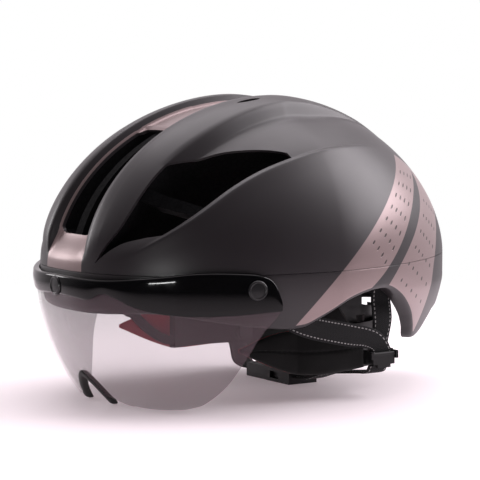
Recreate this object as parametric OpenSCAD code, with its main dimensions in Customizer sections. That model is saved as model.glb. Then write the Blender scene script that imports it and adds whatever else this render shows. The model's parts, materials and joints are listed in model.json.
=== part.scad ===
// Road cycling helmet with a magnetic shield, a turn-dial fit ring and webbing straps.
// Front is -Y, the wearer's left is +X, and the table under the shield is z = 0.

/* [Shell] */
// Width at the seam line
shell_w = 206; // [196:1:214]
// Reach of the brow ahead of the origin
brow_reach = 140; // [136:1:146]
// Reach of the tail behind the origin
tail_reach = 144; // [138:1:150]
// Rise of the crown above the seam line
crown_rise = 105.4; // [103:0.2:109]
// Height of the seam line above the table
seam_z = 83.2; // [82:0.2:87]
// Place of the widest section, negative towards the brow
belly_y = -4; // [-7:1:-1]
// Wall of both skins
skin = 2; // [1.6:0.1:2.4]
// Width of the rolled rim under the lower skin
rim_roll = 7; // [5:0.5:9]
// Tuck of the lower skin below the seam
rim_tuck = 6; // [4:0.5:8]
// Undercut below the tail
tail_tuck = 11; // [8:0.5:13]
// Height of the rear lobes above the table
lobe_z = 31; // [29:1:36]
// Extra width of the rolled rim at the rear lobes
lobe_roll = 2; // [0:0.5:4]
// Height of the brow's rim above the table
brow_rim_z = 58; // [56:1:60]
// Line left open between the two skins
seam_gap = 0.3; // [0.2:0.1:0.6]

/* [Ridges and vents] */
// Depth of the centre channel
channel_depth = 6; // [4:0.5:8]
// Half width of the centre channel, in degrees round the crown
channel_half = 10; // [9:0.5:11]
// Depth of the valley beside each ridge
valley_depth = 7; // [5:0.5:9]
// Rise of the ridges over the shell's curve
ridge_rise = 1; // [0.4:0.2:2]
// Half width of the rib between the front slots, in degrees
rib_half = 1.5; // [1.2:0.1:2.2]
// End of the front slots, in degrees from the brow
slot_end = 57; // [50:1:62]
// End of the side vents, in degrees from the brow
vent_end = 75.5; // [73:0.5:77]
// Length of the small crown slots
crown_slot = 11; // [8:1:14]

/* [Foam liner] */
// Gap between skins and foam
foam_gap = 0.3; // [0.2:0.1:0.5]
// Width of the head space
cavity_w = 160; // [152:1:162]
// Reach of the head space ahead of the origin
cavity_front = 112; // [108:1:114]
// Reach of the head space behind the origin
cavity_rear = 100; // [98:1:104]
// Rise of the head space above the seam line
cavity_rise = 82; // [76:1:84]
// Width of the foam bridge across each side vent, in degrees
bridge = 5; // [4:0.5:7]
// Thickness of the brow and crown pads
pad_t = 6; // [4:0.5:8]

/* [Shield] */
// Gap between shield and shell
shield_gap = 0.8; // [0.7:0.1:1.2]
// Thickness of the clear lens
lens_t = 1.8; // [1.4:0.1:2.2]
// Thickness of the brow frame outside the lens
frame_t = 1.7; // [1.4:0.1:2.2]
// Where the shield ends round the side, in degrees
shield_end = 74.3; // [73.5:0.2:75]
// Height of the nose notch above the table
nose_z = 20.5; // [18:0.5:24]
// Half angle of the nose notch at its foot
nose_half = 8; // [7:0.2:9]
// Diameter of the round shield buttons
button_d = 12; // [11:0.5:13]
// Diameter of the holding magnets
magnet_d = 9; // [8:0.5:10]
// Thickness of the shield's magnets
magnet_t = 1.9; // [1.5:0.1:2.1]

/* [Fit ring] */
// Radius of the ring at the racks
ring_r = 74; // [73:0.5:75]
// Centre of the ring behind the origin
ring_y = 8; // [6:0.5:10]
// Height of the dial's axis
ring_z = 32; // [31:0.5:34]
// Thickness of the rack strips
rack_t = 1.6; // [1.3:0.1:1.8]
// Height of the rack strips
rack_h = 5.6; // [5:0.2:6.4]
// Thickness of the band sleeves
sleeve_t = 4.4; // [4:0.2:4.8]
// Height of the band sleeves
sleeve_h = 28; // [27:1:30]
// Wall of the cradle
cradle_t = 2; // [1.6:0.1:2.4]
// Teeth on the pinion
pinion_teeth = 12; // [10:1:14]
// Tooth size, pitch diameter over tooth count
tooth_m = 1; // [0.9:0.05:1.1]
// Radius of the dial
dial_r = 13; // [12:0.5:14]
// Radial clearance of turning shafts
run_gap = 0.05; // [0.03:0.01:0.1]
// Clearance of sliding faces
slide_gap = 0.3; // [0.25:0.05:0.4]

/* [Straps] */
// Width of the webbing
web_w = 15; // [13:1:17]
// Thickness of the webbing
web_t = 1.6; // [1.2:0.1:1.8]
// Thickness of the side pads
side_pad_t = 3.4; // [2.6:0.2:4]
// Length of the buckle's socket half
socket_l = 26; // [24:1:28]
// Width of the buckle
buckle_w = 22; // [20:1:24]
// Height of the buckle
buckle_h = 9; // [8:0.5:10]

/* [Hidden] */
$fn = 48;

// Domes as [half width, reach ahead, reach behind, rise, front and rear profile powers,
// plan powers at brow, belly and tail]
SHELL = [shell_w/2, brow_reach + belly_y, tail_reach - belly_y, crown_rise, 1.9, 1.75, 2.3, 2.15, 1.55];
CAVE = [cavity_w/2, cavity_front + belly_y, cavity_rear - belly_y, cavity_rise, 2, 2, 2.2, 2.2, 2.1];
CORE = [0, belly_y, seam_z];
// Rounding of the tail's vertical edge, as a share of the shell's half width
TAIL_BLUNT = 0.1;
ROW_STEP = 6;
CELL_LAP = 0.3;
FOAM_INSET = skin + foam_gap;

// Outer edge of the ridges, and the crease along each side panel: [degrees from brow, degrees from centre]
RIDGE = [[0, 13.5], [8, 18], [19, 23.5], [40, 25], [60, 25.3], [77, 23], [97, 18.5], [110, 16], [130, 13]];
CREASE = [[0, 20], [15.5, 37.5], [27, 45], [41, 48.8], [65, 50.8], [83, 50], [102, 46], [119, 37.5],
    [130, 30], [150, 20], [180, 17]];
// Lower front lip and upper arch of the side vents
VENT_LIP = [[4, 15.6], [11.5, 24], [14.5, 30.5], [16.5, 36.5], [20, 60]];
VENT_ARCH = [[48, 28], [57, 33], [63, 37.3], [69, 41.5], [75.5, 46.5]];
// Rim height as an offset from the brow's rim, along the shell
RIM = [[-140, 0], [-116, 2], [-86, -3], [-50, -8.2], [-30, -8.4], [-18.5, -4], [-9.8, 0], [1, 5.5],
    [9.4, 8.2], [19, 10.2], [28, 11.2],
    [39, 10.8], [53.6, 4.8], [67.7, -4.2], [84, -17], [91, -23], [97, -25], [103, -23], [109, -17],
        [116, -12], [144, -11]];
// Foam edge height inside the head space
FOAM_EDGE = [[-112, 4], [-56, -5], [-30, -5], [-12, 2], [5, 9], [19, 13], [39, 13.5], [54, 9], [68, 4],
    [100, 4]];
// Lower edge of the lens, height against angle from the centre line
LENS_EDGE = [[20, 1.2], [27, 0.2], [34, 0], [41, 0.6], [45, 1.9], [49.8, 4.8], [58, 17], [65, 36],
    [68.8, 47.8], [73, 57.7], [75, 64]];
// Upper and lower edges of the brow frame, measured from the seam line
FRAME_TOP = [[0, -2.8], [20, -3.2], [39, -0.5], [52, 2], [65.5, 1.2], [70.5, -1.2], [72.8, -6], [75, -20]];
FRAME_LOW = [[0, -14.5], [8, -15.4], [14, -15.8], [20, -11.8], [25, -14], [30, -18], [34, -20.3],
    [41, -22.5], [50, -23.8], [63, -23.2], [75, -21.6]];
// Each magnet as [angle from the centre line, height above the seam line]
MAGNETS = [[0, -9.5], [67.5, -8.5], [-67.5, -8.5]];

function spow(v, p) = v < 0 ? -pow(-v, p) : pow(v, p);
function ease(a, b, v) = let (u = min(max((v - a)/(b - a), 0), 1)) u*u*(3 - 2*u);
function mix(a, b, u) = a + (b - a)*u;
function unit(v) = v/norm(v);

// Smooth curve through [place, value] pairs, held flat beyond its ends
function curve(k, v) =
    let (n = len(k), below = [for (i = [0:n - 2]) if (i == 0 || v >= k[i][0]) i], i = below[len(below) - 1],
        h = k[i + 1][0] - k[i][0], u = min(max((v - k[i][0])/h, 0), 1), c = (k[i + 1][1] - k[i][1])/h,
        a = i == 0 ? c : (k[i + 1][1] - k[i - 1][1])/(k[i + 1][0] - k[i - 1][0]),
        b = i == n - 2 ? c : (k[i + 2][1] - k[i][1])/(k[i + 2][0] - k[i][0]))
    k[i][1] + h*u*(a + u*(3*c - 2*a - b + u*(a + b - 2*c)));

// Point of a dome: s runs 0 to 180 from brow over crown to tail, t runs -90 to 90 across
function dome(d, s, t) =
    let (c = cos(s), front = c > 0, e = front ? d[4] : d[5],
        m = d[7] + ((front ? d[6] : d[8]) - d[7])*c*c, x = spow(sin(t), 2/m),
        blunt = front ? 0 : pow(TAIL_BLUNT*c, 2),
        h = pow(max((1 - pow(x*x + blunt*(1 - x*x), m/2))/(1 - pow(blunt, m/2)), 0), 1/m))
    [d[0]*x, belly_y + h*(front ? -d[1] : d[2])*pow(abs(c), 2/e),
        seam_z + h*d[3]*pow(sin(s), 2/e)];
function lift(p, h) = let (v = p - CORE) CORE + v*(1 + h/norm(v));
function lift_flat(p, h) = let (v = [p[0], p[1] - belly_y], w = v*(1 + h/norm(v))) [w[0], w[1] + belly_y,
    p[2]];

// Columns of the outer surface from centre to side as [degrees, height over the dome]
function half_columns(s) =
    let (f = ease(3, 14, s)*(1 - ease(118, 138, s)), g = ease(6, 24, s)*(1 - ease(98, 124, s)),
        edge = curve(RIDGE, s), crease = curve(CREASE, s))
    concat([[0, -f*channel_depth], [channel_half - 1, -f*channel_depth], [channel_half + 0.4, f*ridge_rise],
        [(channel_half + edge)/2, f*ridge_rise*1.6], [edge, f*ridge_rise],
        [edge + 1 + 3*g, -g*valley_depth], [mix(edge + 1 + 3*g, crease, 0.5), -g*valley_depth*0.7],
        [crease - 1.2, -g*1.6], [crease, g*0.6]],
        [for (k = [0.14, 0.28, 0.42, 0.56, 0.7, 0.86, 1]) [mix(crease, 90, k), 0]]);
function columns(s) = let (h = half_columns(s), n = len(h))
    concat([for (i = [n - 1:-1:1]) [-h[i][0], h[i][1]]], h);
COLS = len(columns(0));
LOOP = 2*(COLS - 1);

function shell_rows(inset) = [for (s = [0:ROW_STEP:180]) [for (c = columns(s)) lift(dome(SHELL, s, c[0]),
    c[1] - inset)]];
function cave_rows() = [for (s = [0:ROW_STEP:180]) [for (k = [0:COLS - 1]) dome(CAVE, s,
    mix(-90, 90, k/(COLS - 1)))]];
// The edge of a set of rows, from the left side round the brow and back round the tail
function rim_of(rows) = let (n = len(rows) - 1) concat(rows[0], [for (k = [COLS - 2:-1:1]) rows[n][k]]);

function quad(a, b, c, d) = [[a, b, c], [a, c, d]];
function cell(i, k) = k == 0 ? 0 : k == COLS - 1 ? 1 : 2 + i*(COLS - 2) + k - 1;
function rim_cells(n) = concat([for (k = [0:COLS - 1]) cell(0, k)],
    [for (k = [COLS - 2:-1:1]) cell(n - 1, k)]);
function cap_points(rows, rings) = concat([rows[0][0], rows[0][COLS - 1]],
    [for (r = rows, k = [1:COLS - 2]) r[k]], [for (g = rings, p = g) p]);
function ring_cells(n, r) = r == 0 ? rim_cells(n)
    : [for (j = [0:LOOP - 1]) 2 + n*(COLS - 2) + (r - 1)*LOOP + j];
function band_faces(a, b) = [for (j = [0:LOOP - 1]) each quad(a[j], a[(j + 1)%LOOP], b[(j + 1)%LOOP],
    b[j])];
function cap_faces(n, rings) = concat(
    [for (i = [0:n - 2], k = [0:COLS - 2])
        let (a = cell(i, k), b = cell(i, k + 1), c = cell(i + 1, k + 1), d = cell(i + 1, k))
        each k == 0 ? [[a, c, b]] : k == COLS - 2 ? [[a, d, b]] : quad(a, d, c, b)],
    [for (r = [0:1:rings - 1]) each band_faces(ring_cells(n, r), ring_cells(n, r + 1))]);
function flip(faces) = [for (f = faces) [f[0], f[2], f[1]]];
function shifted(list, by) = [for (v = list) [for (i = v) i + by]];

// A closed dome wall from an outer and an inner set of rows, each with its rings below the seam
module cap(outer, outer_rings, inner, inner_rings) {
    n = len(outer);
    first = cap_points(outer, outer_rings);
    low = ring_cells(n, len(outer_rings));
    under = [for (i = ring_cells(n, len(inner_rings))) i + len(first)];
    polyhedron(concat(first, cap_points(inner, inner_rings)),
        concat(cap_faces(n, len(outer_rings)), shifted(flip(cap_faces(n, len(inner_rings))), len(first)),
            band_faces(low, under)));
}

// Faces of a row of n sections with m points each, open with thin ends or closed into a loop
function sweep_faces(n, m, closed) = concat(
    [for (j = [0:closed ? n - 1 : n - 2], i = [0:m - 1])
        let (a = j*m, b = ((j + 1)%n)*m, k = (i + 1)%m) each quad(b + i, b + k, a + k, a + i)],
    closed ? [] : concat([for (i = [0:m/2 - 2]) each quad(i, i + 1, m - 2 - i, m - 1 - i)],
        flip([for (i = [0:m/2 - 2]) each quad((n - 1)*m + i, (n - 1)*m + i + 1, n*m - 2 - i,
            n*m - 1 - i)])));
module sweep(sections, closed = false) {
    polyhedron([for (s = sections, p = s) p], sweep_faces(len(sections), len(sections[0]), closed));
}

// A vent cutter: a chain of convex cells that follows a dome, one per pair of [s, t from, t to]
module trench(d, rows, low, high, lap = 0) {
    for (i = [0:len(rows) - 2])
        hull() polyhedron([for (r = [rows[i], rows[i + 1] + [lap, 0, 0]], h = [low, high], t = [r[1], r[2]])
            lift(dome(d, r[0], t), h)], [[0, 1, 3, 2], [4, 5, 7, 6]]);
}
function between(from, to) = [for (k = [ROW_STEP:ROW_STEP:90]) if (k > from + 0.5 && k < to - 0.5) k];
function side_vent(from, to) = [for (s = concat([from], between(from, to), [to]))
    let (low = max(curve(RIDGE, s) - 0.2, s < 46 ? 0 : curve(VENT_ARCH, s)),
        high = min(curve(CREASE, s) - 1.4, curve(VENT_LIP, s)))
    [s, low, max(high, low + 0.4)]];
function front_slot() = [for (s = [6, 10, 14, 24, 34, 44, slot_end - 3, slot_end])
    [s, rib_half, min(channel_half - 0.9, 2.4 + (s - 6)*0.8) - (s == slot_end ? 1.5 : 0)]];
function rear_slot() = [for (s = [94, 97, 106, 115, 122, 125]) [s, rib_half + 0.6,
    s == 94 || s == 125 ? 6 : 8]];
function tail_port() = [for (s = [146, 149, 155, 158]) [s, 4.5, s == 146 || s == 158 ? 7.5 : 9.5]];
function mirrored(rows) = [for (r = rows) [r[0], -r[2], -r[1]]];
module both_trenches(d, rows, low, high) {
    trench(d, rows, low, high);
    trench(d, mirrored(rows), low, high);
}
module mirrored_copy() {
    children();
    mirror([1, 0, 0]) children();
}

module outer_shell() {
    color("#2d2b2e") difference() {
        cap(shell_rows(0), [], shell_rows(skin), []);
        both_trenches(SHELL, side_vent(4, vent_end), -20, 14);
        both_trenches(SHELL, front_slot(), -20, 14);
        both_trenches(SHELL, rear_slot(), -20, 14);
        both_trenches(SHELL, tail_port(), -12, 10);
        mirrored_copy() crown_slot_cut();
    }
}
CROWN_SLOT_R = 1.6;
module crown_slot_cut() {
    hull() for (y = [-crown_slot/2, crown_slot/2])
        translate(lift(dome(SHELL, 80, 16), 0) + [0, y, 0]) sphere(CROWN_SLOT_R, $fn = 16);
}

// Height of the rim and outline of the skirt below the seam
function rim_z(p) = let (k = curve(RIM, p[1])) brow_rim_z + (k < -10 ? mix(-10, lobe_z - brow_rim_z,
    (k + 10)/-15) : k);
function roll_w(p) = rim_roll + lobe_roll*ease(20, 50, p[1])*(1 - ease(60, 88, p[1]));
// Rows of the skirt: u runs from the seam down to the rolled rim
function skirt_row(p, u) = mix(seam_z - seam_gap, rim_z(p) + 2.6, u);
function tuck(p, z) = let (d = seam_z - z, back = ease(34, 114, p[1]))
    rim_tuck*pow(max(d, 0)/34, 2)*(1 - back) + back*tail_tuck*pow(max(d - 16, 0)/34, 1.3);
function skirt(p, z, inset) = let (q = lift_flat(p, -inset - tuck(p, z))) [q[0], q[1], z];
SEAM = rim_of(shell_rows(0));

module lower_shell() {
    color("#2d2b2e") difference() {
        sweep([for (p = SEAM) let (zr = rim_z(p))
            concat([for (u = [0:0.5:1]) skirt(p, skirt_row(p, u), 0)],
                [skirt(p, zr + 0.9, 0.7), skirt(p, zr, 2.6), skirt(p, zr + 0.2, roll_w(p)),
                    skirt(p, zr + 0.2 + skin*0.8, roll_w(p))],
                [for (u = [1:-0.5:0]) skirt(p, skirt_row(p, u), skin)])], closed = true);
        at_magnets(-SEAT) cylinder(d = magnet_d + 0.4, h = SEAT + 3);
    }
}

// Frame of each magnet: out of the shell along the outline's normal, shift is the distance out of the skin
module at_magnets(shift) {
    for (m = MAGNETS) {
        p = shield_point(m[0], seam_z + m[1], 0);
        q = shield_point(m[0] + 0.5, seam_z + m[1], 0) - shield_point(m[0] - 0.5, seam_z + m[1], 0);
        translate(p) rotate([0, 0, atan2(q[1], q[0])]) translate([0, -shift, 0]) rotate([90, 0,
            0]) children();
    }
}
SEAT = skin - 0.5;
module shell_magnets() {
    color("silver") at_magnets(-SEAT) cylinder(d = magnet_d, h = SEAT - 0.2);
}

// Slot in the foam where the front strap runs down beside the temple
STRAP_SLOT = [81.5, -44, 40];
STRAP_SLOT_SIZE = [9.5, 33, 19];
function liner_edge(p) = brow_rim_z + curve(FOAM_EDGE, p[1]);
module liner() {
    outer = shell_rows(FOAM_INSET);
    inner = cave_rows();
    seam = rim_of(outer);
    cave_rim = rim_of(inner);
    color("#1c1c1e") difference() {
        cap(outer, concat([for (u = [0, 0.5, 1]) [for (p = SEAM) skirt(p,
            skirt_row(p, u) + (u == 1 ? foam_gap : 0), FOAM_INSET)]],
                [[for (p = SEAM) skirt(p, skirt_row(p, 1) - 0.4, roll_w(p) + foam_gap)]]),
            inner, [for (u = [0.5, 1]) [for (p = cave_rim) [p[0], p[1], mix(seam_z, liner_edge(p), u)]]]);
        for (side = [0, 1]) mirror([side, 0, 0]) {
            trench(SHELL, side_vent(4, 28), -60, 14, CELL_LAP);
            trench(SHELL, side_vent(28 + bridge, vent_end), -60, 14, CELL_LAP);
            trench(SHELL, front_slot(), -60, 14, CELL_LAP);
            trench(SHELL, rear_slot(), -60, 14, CELL_LAP);
            trench(SHELL, tail_port(), -90, 14, CELL_LAP);
            air_groove();
        }
        hull() for (x = [-dial_r - 5, dial_r + 5], y = [ring_y + ring_r - 8, ring_y + ring_r + 20])
            translate([x, y, ring_z - 20]) cylinder(r = 3, h = 58, $fn = 16);
        mirrored_copy() {
            at_socket() translate([-9, -8 - foam_gap, -16]) cube([16 + foam_gap, 16 + 2*foam_gap,
                26 + foam_gap]);
            at_peg() cylinder(r = PEG_R + 0.15, h = 14);
            clip_seats(foam_gap, 20);
            translate(STRAP_SLOT) cube(STRAP_SLOT_SIZE);
        }
    }
}
// An air groove along the inside of the foam, from the side vent back towards the tail
module air_groove() {
    trench(CAVE, [for (s = [70:12:142]) [s, 26, 34]], -6, 7, CELL_LAP);
}

// A cushion over a patch: place(u, v, h) gives the point h off its seat
function puff(u, v) = 0.3 + 0.7*sqrt(max((1 - pow(abs(2*u - 1), 4))*(1 - pow(abs(2*v - 1), 4)), 0));
module cushion(place, nu, nv, thick) {
    sweep([for (i = [0:nu]) concat(
        [for (j = [0:nv]) place(i/nu, j/nv, 0)],
        [for (j = [nv:-1:0]) place(i/nu, j/nv, thick*puff(i/nu,
            j/nv)*(1 - 0.35*exp(-pow(12*(j/nv - 0.5), 2))))])]);
}
// Brow pad: a band round the front of the head space
module brow_pad() {
    color("#b3343a") cushion(function (u, v, h)
        let (t = mix(-56, 56, u), low = 3 + 5*pow(abs(2*u - 1), 2), p = dome(CAVE, 0, t),
            z = mix(seam_z - 22 + low, seam_z + 8 - low, v))
        z < seam_z ? lift_flat([p[0], p[1], z], -foam_gap - h)
            : lift(dome(CAVE, asin(min((z - seam_z)/cavity_rise, 1)), t), -foam_gap - 0.5 - h), 20, 8,
                pad_t);
}
module crown_pad() {
    cushion(function (u, v, h) lift(dome(CAVE, mix(46, 128, u), mix(8 + 5*pow(2*u - 1, 2), 22, v)),
        -foam_gap - h),
        16, 6, pad_t);
}
module crown_pad_left() { color("#b3343a") crown_pad(); }
module crown_pad_right() { color("#b3343a") mirror([1, 0, 0]) crown_pad(); }

// Draw-in of the shield at its foot and the power of its curve, ahead and at the sides
DRAW_AHEAD = [27.8, 2.2];
DRAW_SIDES = [20, 3.3];
// The shield's surface: t degrees round from the centre line, z height, off distance outside the shell
function shield_point(t, z, off) = let (w = max((seam_z - z)/seam_z, 0), m = SHELL[6],
        a = SHELL[1] + off - DRAW_AHEAD[0]*pow(w, DRAW_AHEAD[1]),
        b = SHELL[0] + off - DRAW_SIDES[0]*pow(w, DRAW_SIDES[1]))
    [b*spow(sin(t), 2/m), belly_y - a*spow(cos(t), 2/m), z];
function lens_low(t) = let (u = abs(t))
    u < nose_half ? mix(nose_z, 4.5, pow(u/nose_half, 1.3))
        : u < 20 ? mix(4.5, 0.8, ease(nose_half, 20, u)) : curve(LENS_EDGE, u);
function frame_low(t) = seam_z + curve(FRAME_LOW, abs(t));
function frame_top(t) = seam_z + curve(FRAME_TOP, abs(t));
function lens_high(t) = frame_low(t) + 5.5;
FRAME_LAP = 6;
// Angles of the lens sections, close together at the nose notch and at the ends
LENS_T = let (half = [0, 1.5, 3.4, 5.4, nose_half, nose_half + 2.4, 14, 20, 27, 34, 41, 48, 54, 60, 65,
    69, 72.5, shield_end])
    concat([for (i = [len(half) - 1:-1:1]) -half[i]], half);

module lens() {
    color("#5a5660", 0.5) difference() {
        sweep([for (t = LENS_T) let (low = min(lens_low(t), lens_high(t) - 3))
        concat([for (u = [1:-0.2:-0.01]) shield_point(t, mix(low, lens_high(t), u), shield_gap + lens_t)],
            [for (u = [0:0.2:1.01]) shield_point(t, mix(low, lens_high(t), u), shield_gap)])]);
        at_magnets(shield_gap - 2) cylinder(d = magnet_d + 0.6, h = lens_t + 5);
    }
}
module visor_frame() {
    face = shield_gap + lens_t + frame_t;
    color("#0b0b0c") difference() {
        sweep([for (t = [for (i = [-24:24]) shield_end*i/24]) let (low = frame_low(t), top = frame_top(t))
            [shield_point(t, top, face - 0.6), shield_point(t, top - 1, face),
                shield_point(t, mix(top, low, 0.5), face + 0.3),
                shield_point(t, low + 1, face), shield_point(t, low, face - 0.6),
                    shield_point(t, low, shield_gap + lens_t + 0.1),
                shield_point(t, low + FRAME_LAP, shield_gap + lens_t + 0.1),
                    shield_point(t, low + FRAME_LAP, shield_gap),
                shield_point(t, mix(top, low + FRAME_LAP, 0.5), shield_gap),
                    shield_point(t, top, shield_gap)]]);
        at_magnets(shield_gap - 3) cylinder(d = magnet_d + 0.2, h = magnet_t + 3.1);
        at_magnets(face - 0.6) cylinder(d = button_d + 0.4, h = 5);
    }
}
module visor_magnets() {
    color("silver") at_magnets(shield_gap + 0.1) cylinder(d = magnet_d, h = magnet_t - 0.1);
}
module visor_buttons() {
    color("#17171a") at_magnets(shield_gap + lens_t + frame_t - 0.5) {
        cylinder(d = button_d, h = 1.3);
        translate([0, 0, 1.3]) cylinder(d1 = button_d, d2 = button_d - 1.2, h = 0.5);
    }
}
// Rubber bridge that follows the nose notch
module nose_piece() {
    color("#101012") sweep([for (t = [-nose_half - 0.6, -nose_half, -5.4, -3.4, -1.8, -0.7, 0.7, 1.8, 3.4,
        5.4, nose_half, nose_half + 0.6])
        let (top = lens_low(t) - 0.35, low = max(top - 4.5 - 3*abs(t)/nose_half, 0.4))
        [shield_point(t, top, shield_gap + lens_t + 0.8), shield_point(t, low, shield_gap + lens_t + 0.8),
            shield_point(t, low, shield_gap - 2.6), shield_point(t, top, shield_gap - 2.6)]]);
}

// Fit ring
rack_in = ring_r - rack_t/2;
rack_out = ring_r + rack_t/2;
sleeve_in = ring_r - sleeve_t/2;
sleeve_out = ring_r + sleeve_t/2;
cradle_out = sleeve_in - 0.6;
cradle_in = cradle_out - cradle_t;
pitch_r = pinion_teeth*tooth_m/2;
rack_low = pitch_r + tooth_m;
SLEEVE_FROM = -22;
SLEEVE_TO = 58;
HOUSING = 22;
PIVOT = [68, -53, 46];
ARM_IN = 1.8;
ARM_T = 2.2;
PIN_R = 2;
FLANGE_Z = rack_low + rack_h + slide_gap;

module ring_sector(from, to, r0, r1, z0, z1) {
    translate([0, ring_y, 0]) rotate([0, 0, from]) rotate_extrude(angle = to - from, $fn = 96)
        translate([r0, z0]) square([r1 - r0, z1 - z0]);
}
// One band: a sleeve round the side, and an arm up to the temple
module band(z_slot) {
    z0 = ring_z - sleeve_h/2;
    start = ring_y + ring_r*sin(SLEEVE_FROM);
    difference() {
        ring_sector(SLEEVE_FROM, SLEEVE_TO, sleeve_in, sleeve_out, z0, z0 + sleeve_h);
        ring_sector(40, SLEEVE_TO + 1, rack_in - slide_gap, rack_out + slide_gap, z_slot - slide_gap,
            z_slot + rack_h + slide_gap);
    }
    translate([ring_r*cos(SLEEVE_FROM) - ARM_IN, 0, 0]) rotate([90, 0, 90]) difference() {
        linear_extrude(ARM_T) difference() {
            union() {
                polygon(concat([[start + 2, z0 + 1], [start + 2, z0 + 9]],
                    [for (u = [0:0.1:1]) arm_edge(u, 3)], [for (u = [1:-0.1:0]) arm_edge(u, -3)]));
                translate([PIVOT[1], PIVOT[2]]) circle(5);
            }
            translate([PIVOT[1], PIVOT[2]]) circle(PIN_R + run_gap);
        }
    }
}
// Edge of the temple arm in the side view, half a width either side of its centre line
function arm_mid(u) = let (start = ring_y + ring_r*sin(SLEEVE_FROM), z0 = ring_z - sleeve_h/2 + 5)
    [mix(start, PIVOT[1], u), z0 + (PIVOT[2] - z0)*pow(u, 1.7)];
function arm_edge(u, w) = let (d = unit(arm_mid(u + 0.01) - arm_mid(max(u - 0.01, 0)))) arm_mid(u) - [d[1], -d[0]]*w;
module band_left() { color("#161617") band(ring_z + rack_low); }
module band_right() { color("#161617") mirror([1, 0, 0]) band(ring_z - rack_low - rack_h); }

// Snap anchor at the temple: a pin for the arm and a peg pressed into the foam
PEG_R = 3;
ANCHOR_X = ring_r*cos(SLEEVE_FROM) - ARM_IN + ARM_T + slide_gap;
module at_peg() {
    translate([ANCHOR_X, PIVOT[1], PIVOT[2] + 13]) rotate([0, 90, 0]) children();
}
module temple_anchor() {
    reach = ARM_T + 2*slide_gap;
    translate([ANCHOR_X, PIVOT[1], PIVOT[2]]) rotate([90, 0, 90]) {
        linear_extrude(2) union() {
            circle(4.5);
            translate([-4.5, 0]) square([9, 16]);
        }
        translate([0, 0, -reach]) cylinder(r = PIN_R, h = reach + 0.5);
        translate([0, 0, -reach - 1.2]) cylinder(r = 3.4, h = 1.2);
    }
    at_peg() cylinder(r = PEG_R, h = 12);
}
module temple_anchor_left() { color("#202022") temple_anchor(); }
module temple_anchor_right() { color("#202022") mirror([1, 0, 0]) temple_anchor(); }

// One rack: a curved strip with teeth along its inner edge, cut for a straight rack at the pinion
RACK_FROM = 44;
RACK_TO = 97;
tooth_step = PI*tooth_m;
module rack(up) {
    z = up ? ring_z + rack_low : ring_z - rack_low - rack_h;
    ring_sector(RACK_FROM, RACK_TO, rack_in, rack_out, z, z + rack_h);
    step = tooth_step/ring_r*180/PI;
    for (i = [-5:2]) rack_tooth(90 + (i + 0.5)*step, up);
}
module rack_tooth(a, up) {
    side = up ? 1 : -1;
    translate([0, ring_y, ring_z]) rotate([0, 0, a - 90]) translate([0, rack_out, 0]) rotate([90, 0, 0])
        linear_extrude(rack_t) polygon([for (p = [[-0.85, rack_low + 0.2], [0.85, rack_low + 0.2],
            [0.32, pitch_r - 0.75], [-0.32, pitch_r - 0.75]])
            [p[0]*tooth_m, p[1]*side]]);
}
module rack_left() { color("#3a3a3d") rack(true); }
module rack_right() { color("#3a3a3d") mirror([1, 0, 0]) rack(false); }

module along_y(y) {
    translate([0, y, ring_z]) rotate([-90, 0, 0]) children();
}
cover_out = sleeve_out + 1;
module cradle() {
    z_low = ring_z - FLANGE_Z - 2;
    z_top = ring_z + FLANGE_Z + 2;
    color("#19191b") difference() {
        union() {
            ring_sector(90 - HOUSING, 90 + HOUSING, cradle_in, cradle_out, z_low, z_top);
            for (z = [z_low, z_top - 2]) ring_sector(90 - HOUSING, 90 + HOUSING, cradle_in, cover_out, z,
                z + 2);
            mirrored_copy() wing();
            along_y(ring_y + cradle_in + 0.3) cylinder(r = 4.6, h = rack_in - cradle_in - 0.9);
        }
        along_y(ring_y + cradle_in - 2) cylinder(r = 2 + run_gap, h = 12);
        mirrored_copy() translate([0, ring_y, 0]) rotate([0, 0, 37]) translate([cradle_in - 3, 0,
            ring_z + 6.5])
            rotate([0, 90, 0]) slot_hole(5, 2.2);
    }
}
module slot_hole(span, r) {
    for (y = [-span/2, span/2]) translate([0, y, 0]) cylinder(r = r, h = 10);
    translate([-r, -span/2, 0]) cube([2*r, span, 10]);
}
// Wing of the cradle along the side of the head, with its arm up into the liner
module wing() {
    intersection() {
        ring_sector(4, 90 - HOUSING + 2, cradle_in, cradle_out, ring_z - 2, ring_z + 44);
        translate([0, 0, ring_z]) rotate([90, 0, 90]) linear_extrude(100) difference() {
            polygon([[ring_y + 5, 29], [ring_y + 11, 38], [ring_y + 17, 38], [ring_y + 24, 26],
                [ring_y + 38, 23],
                [ring_y + 72, 19], [ring_y + 72, 2], [ring_y + 42, -1], [ring_y + 30, 1],
                    [ring_y + 19, 12]]);
            polygon([[ring_y + 24, 18], [ring_y + 34, 18], [ring_y + 34, 8], [ring_y + 27, 9]]);
        }
    }
}
module dial_cover() {
    color("#19191b") difference() {
        union() {
            ring_sector(90 - HOUSING + 1, 90 + HOUSING - 1, rack_out + slide_gap, cover_out,
                ring_z - FLANGE_Z, ring_z + FLANGE_Z);
            along_y(ring_y + rack_out + 0.6) cylinder(r = 7, h = 6);
        }
        along_y(ring_y + rack_out - 2) cylinder(r = 3 + run_gap, h = 12);
        along_y(ring_y + rack_in - 4) cylinder(r = pitch_r + tooth_m + 0.4, h = 4 + rack_t + 0.6);
    }
}
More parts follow.
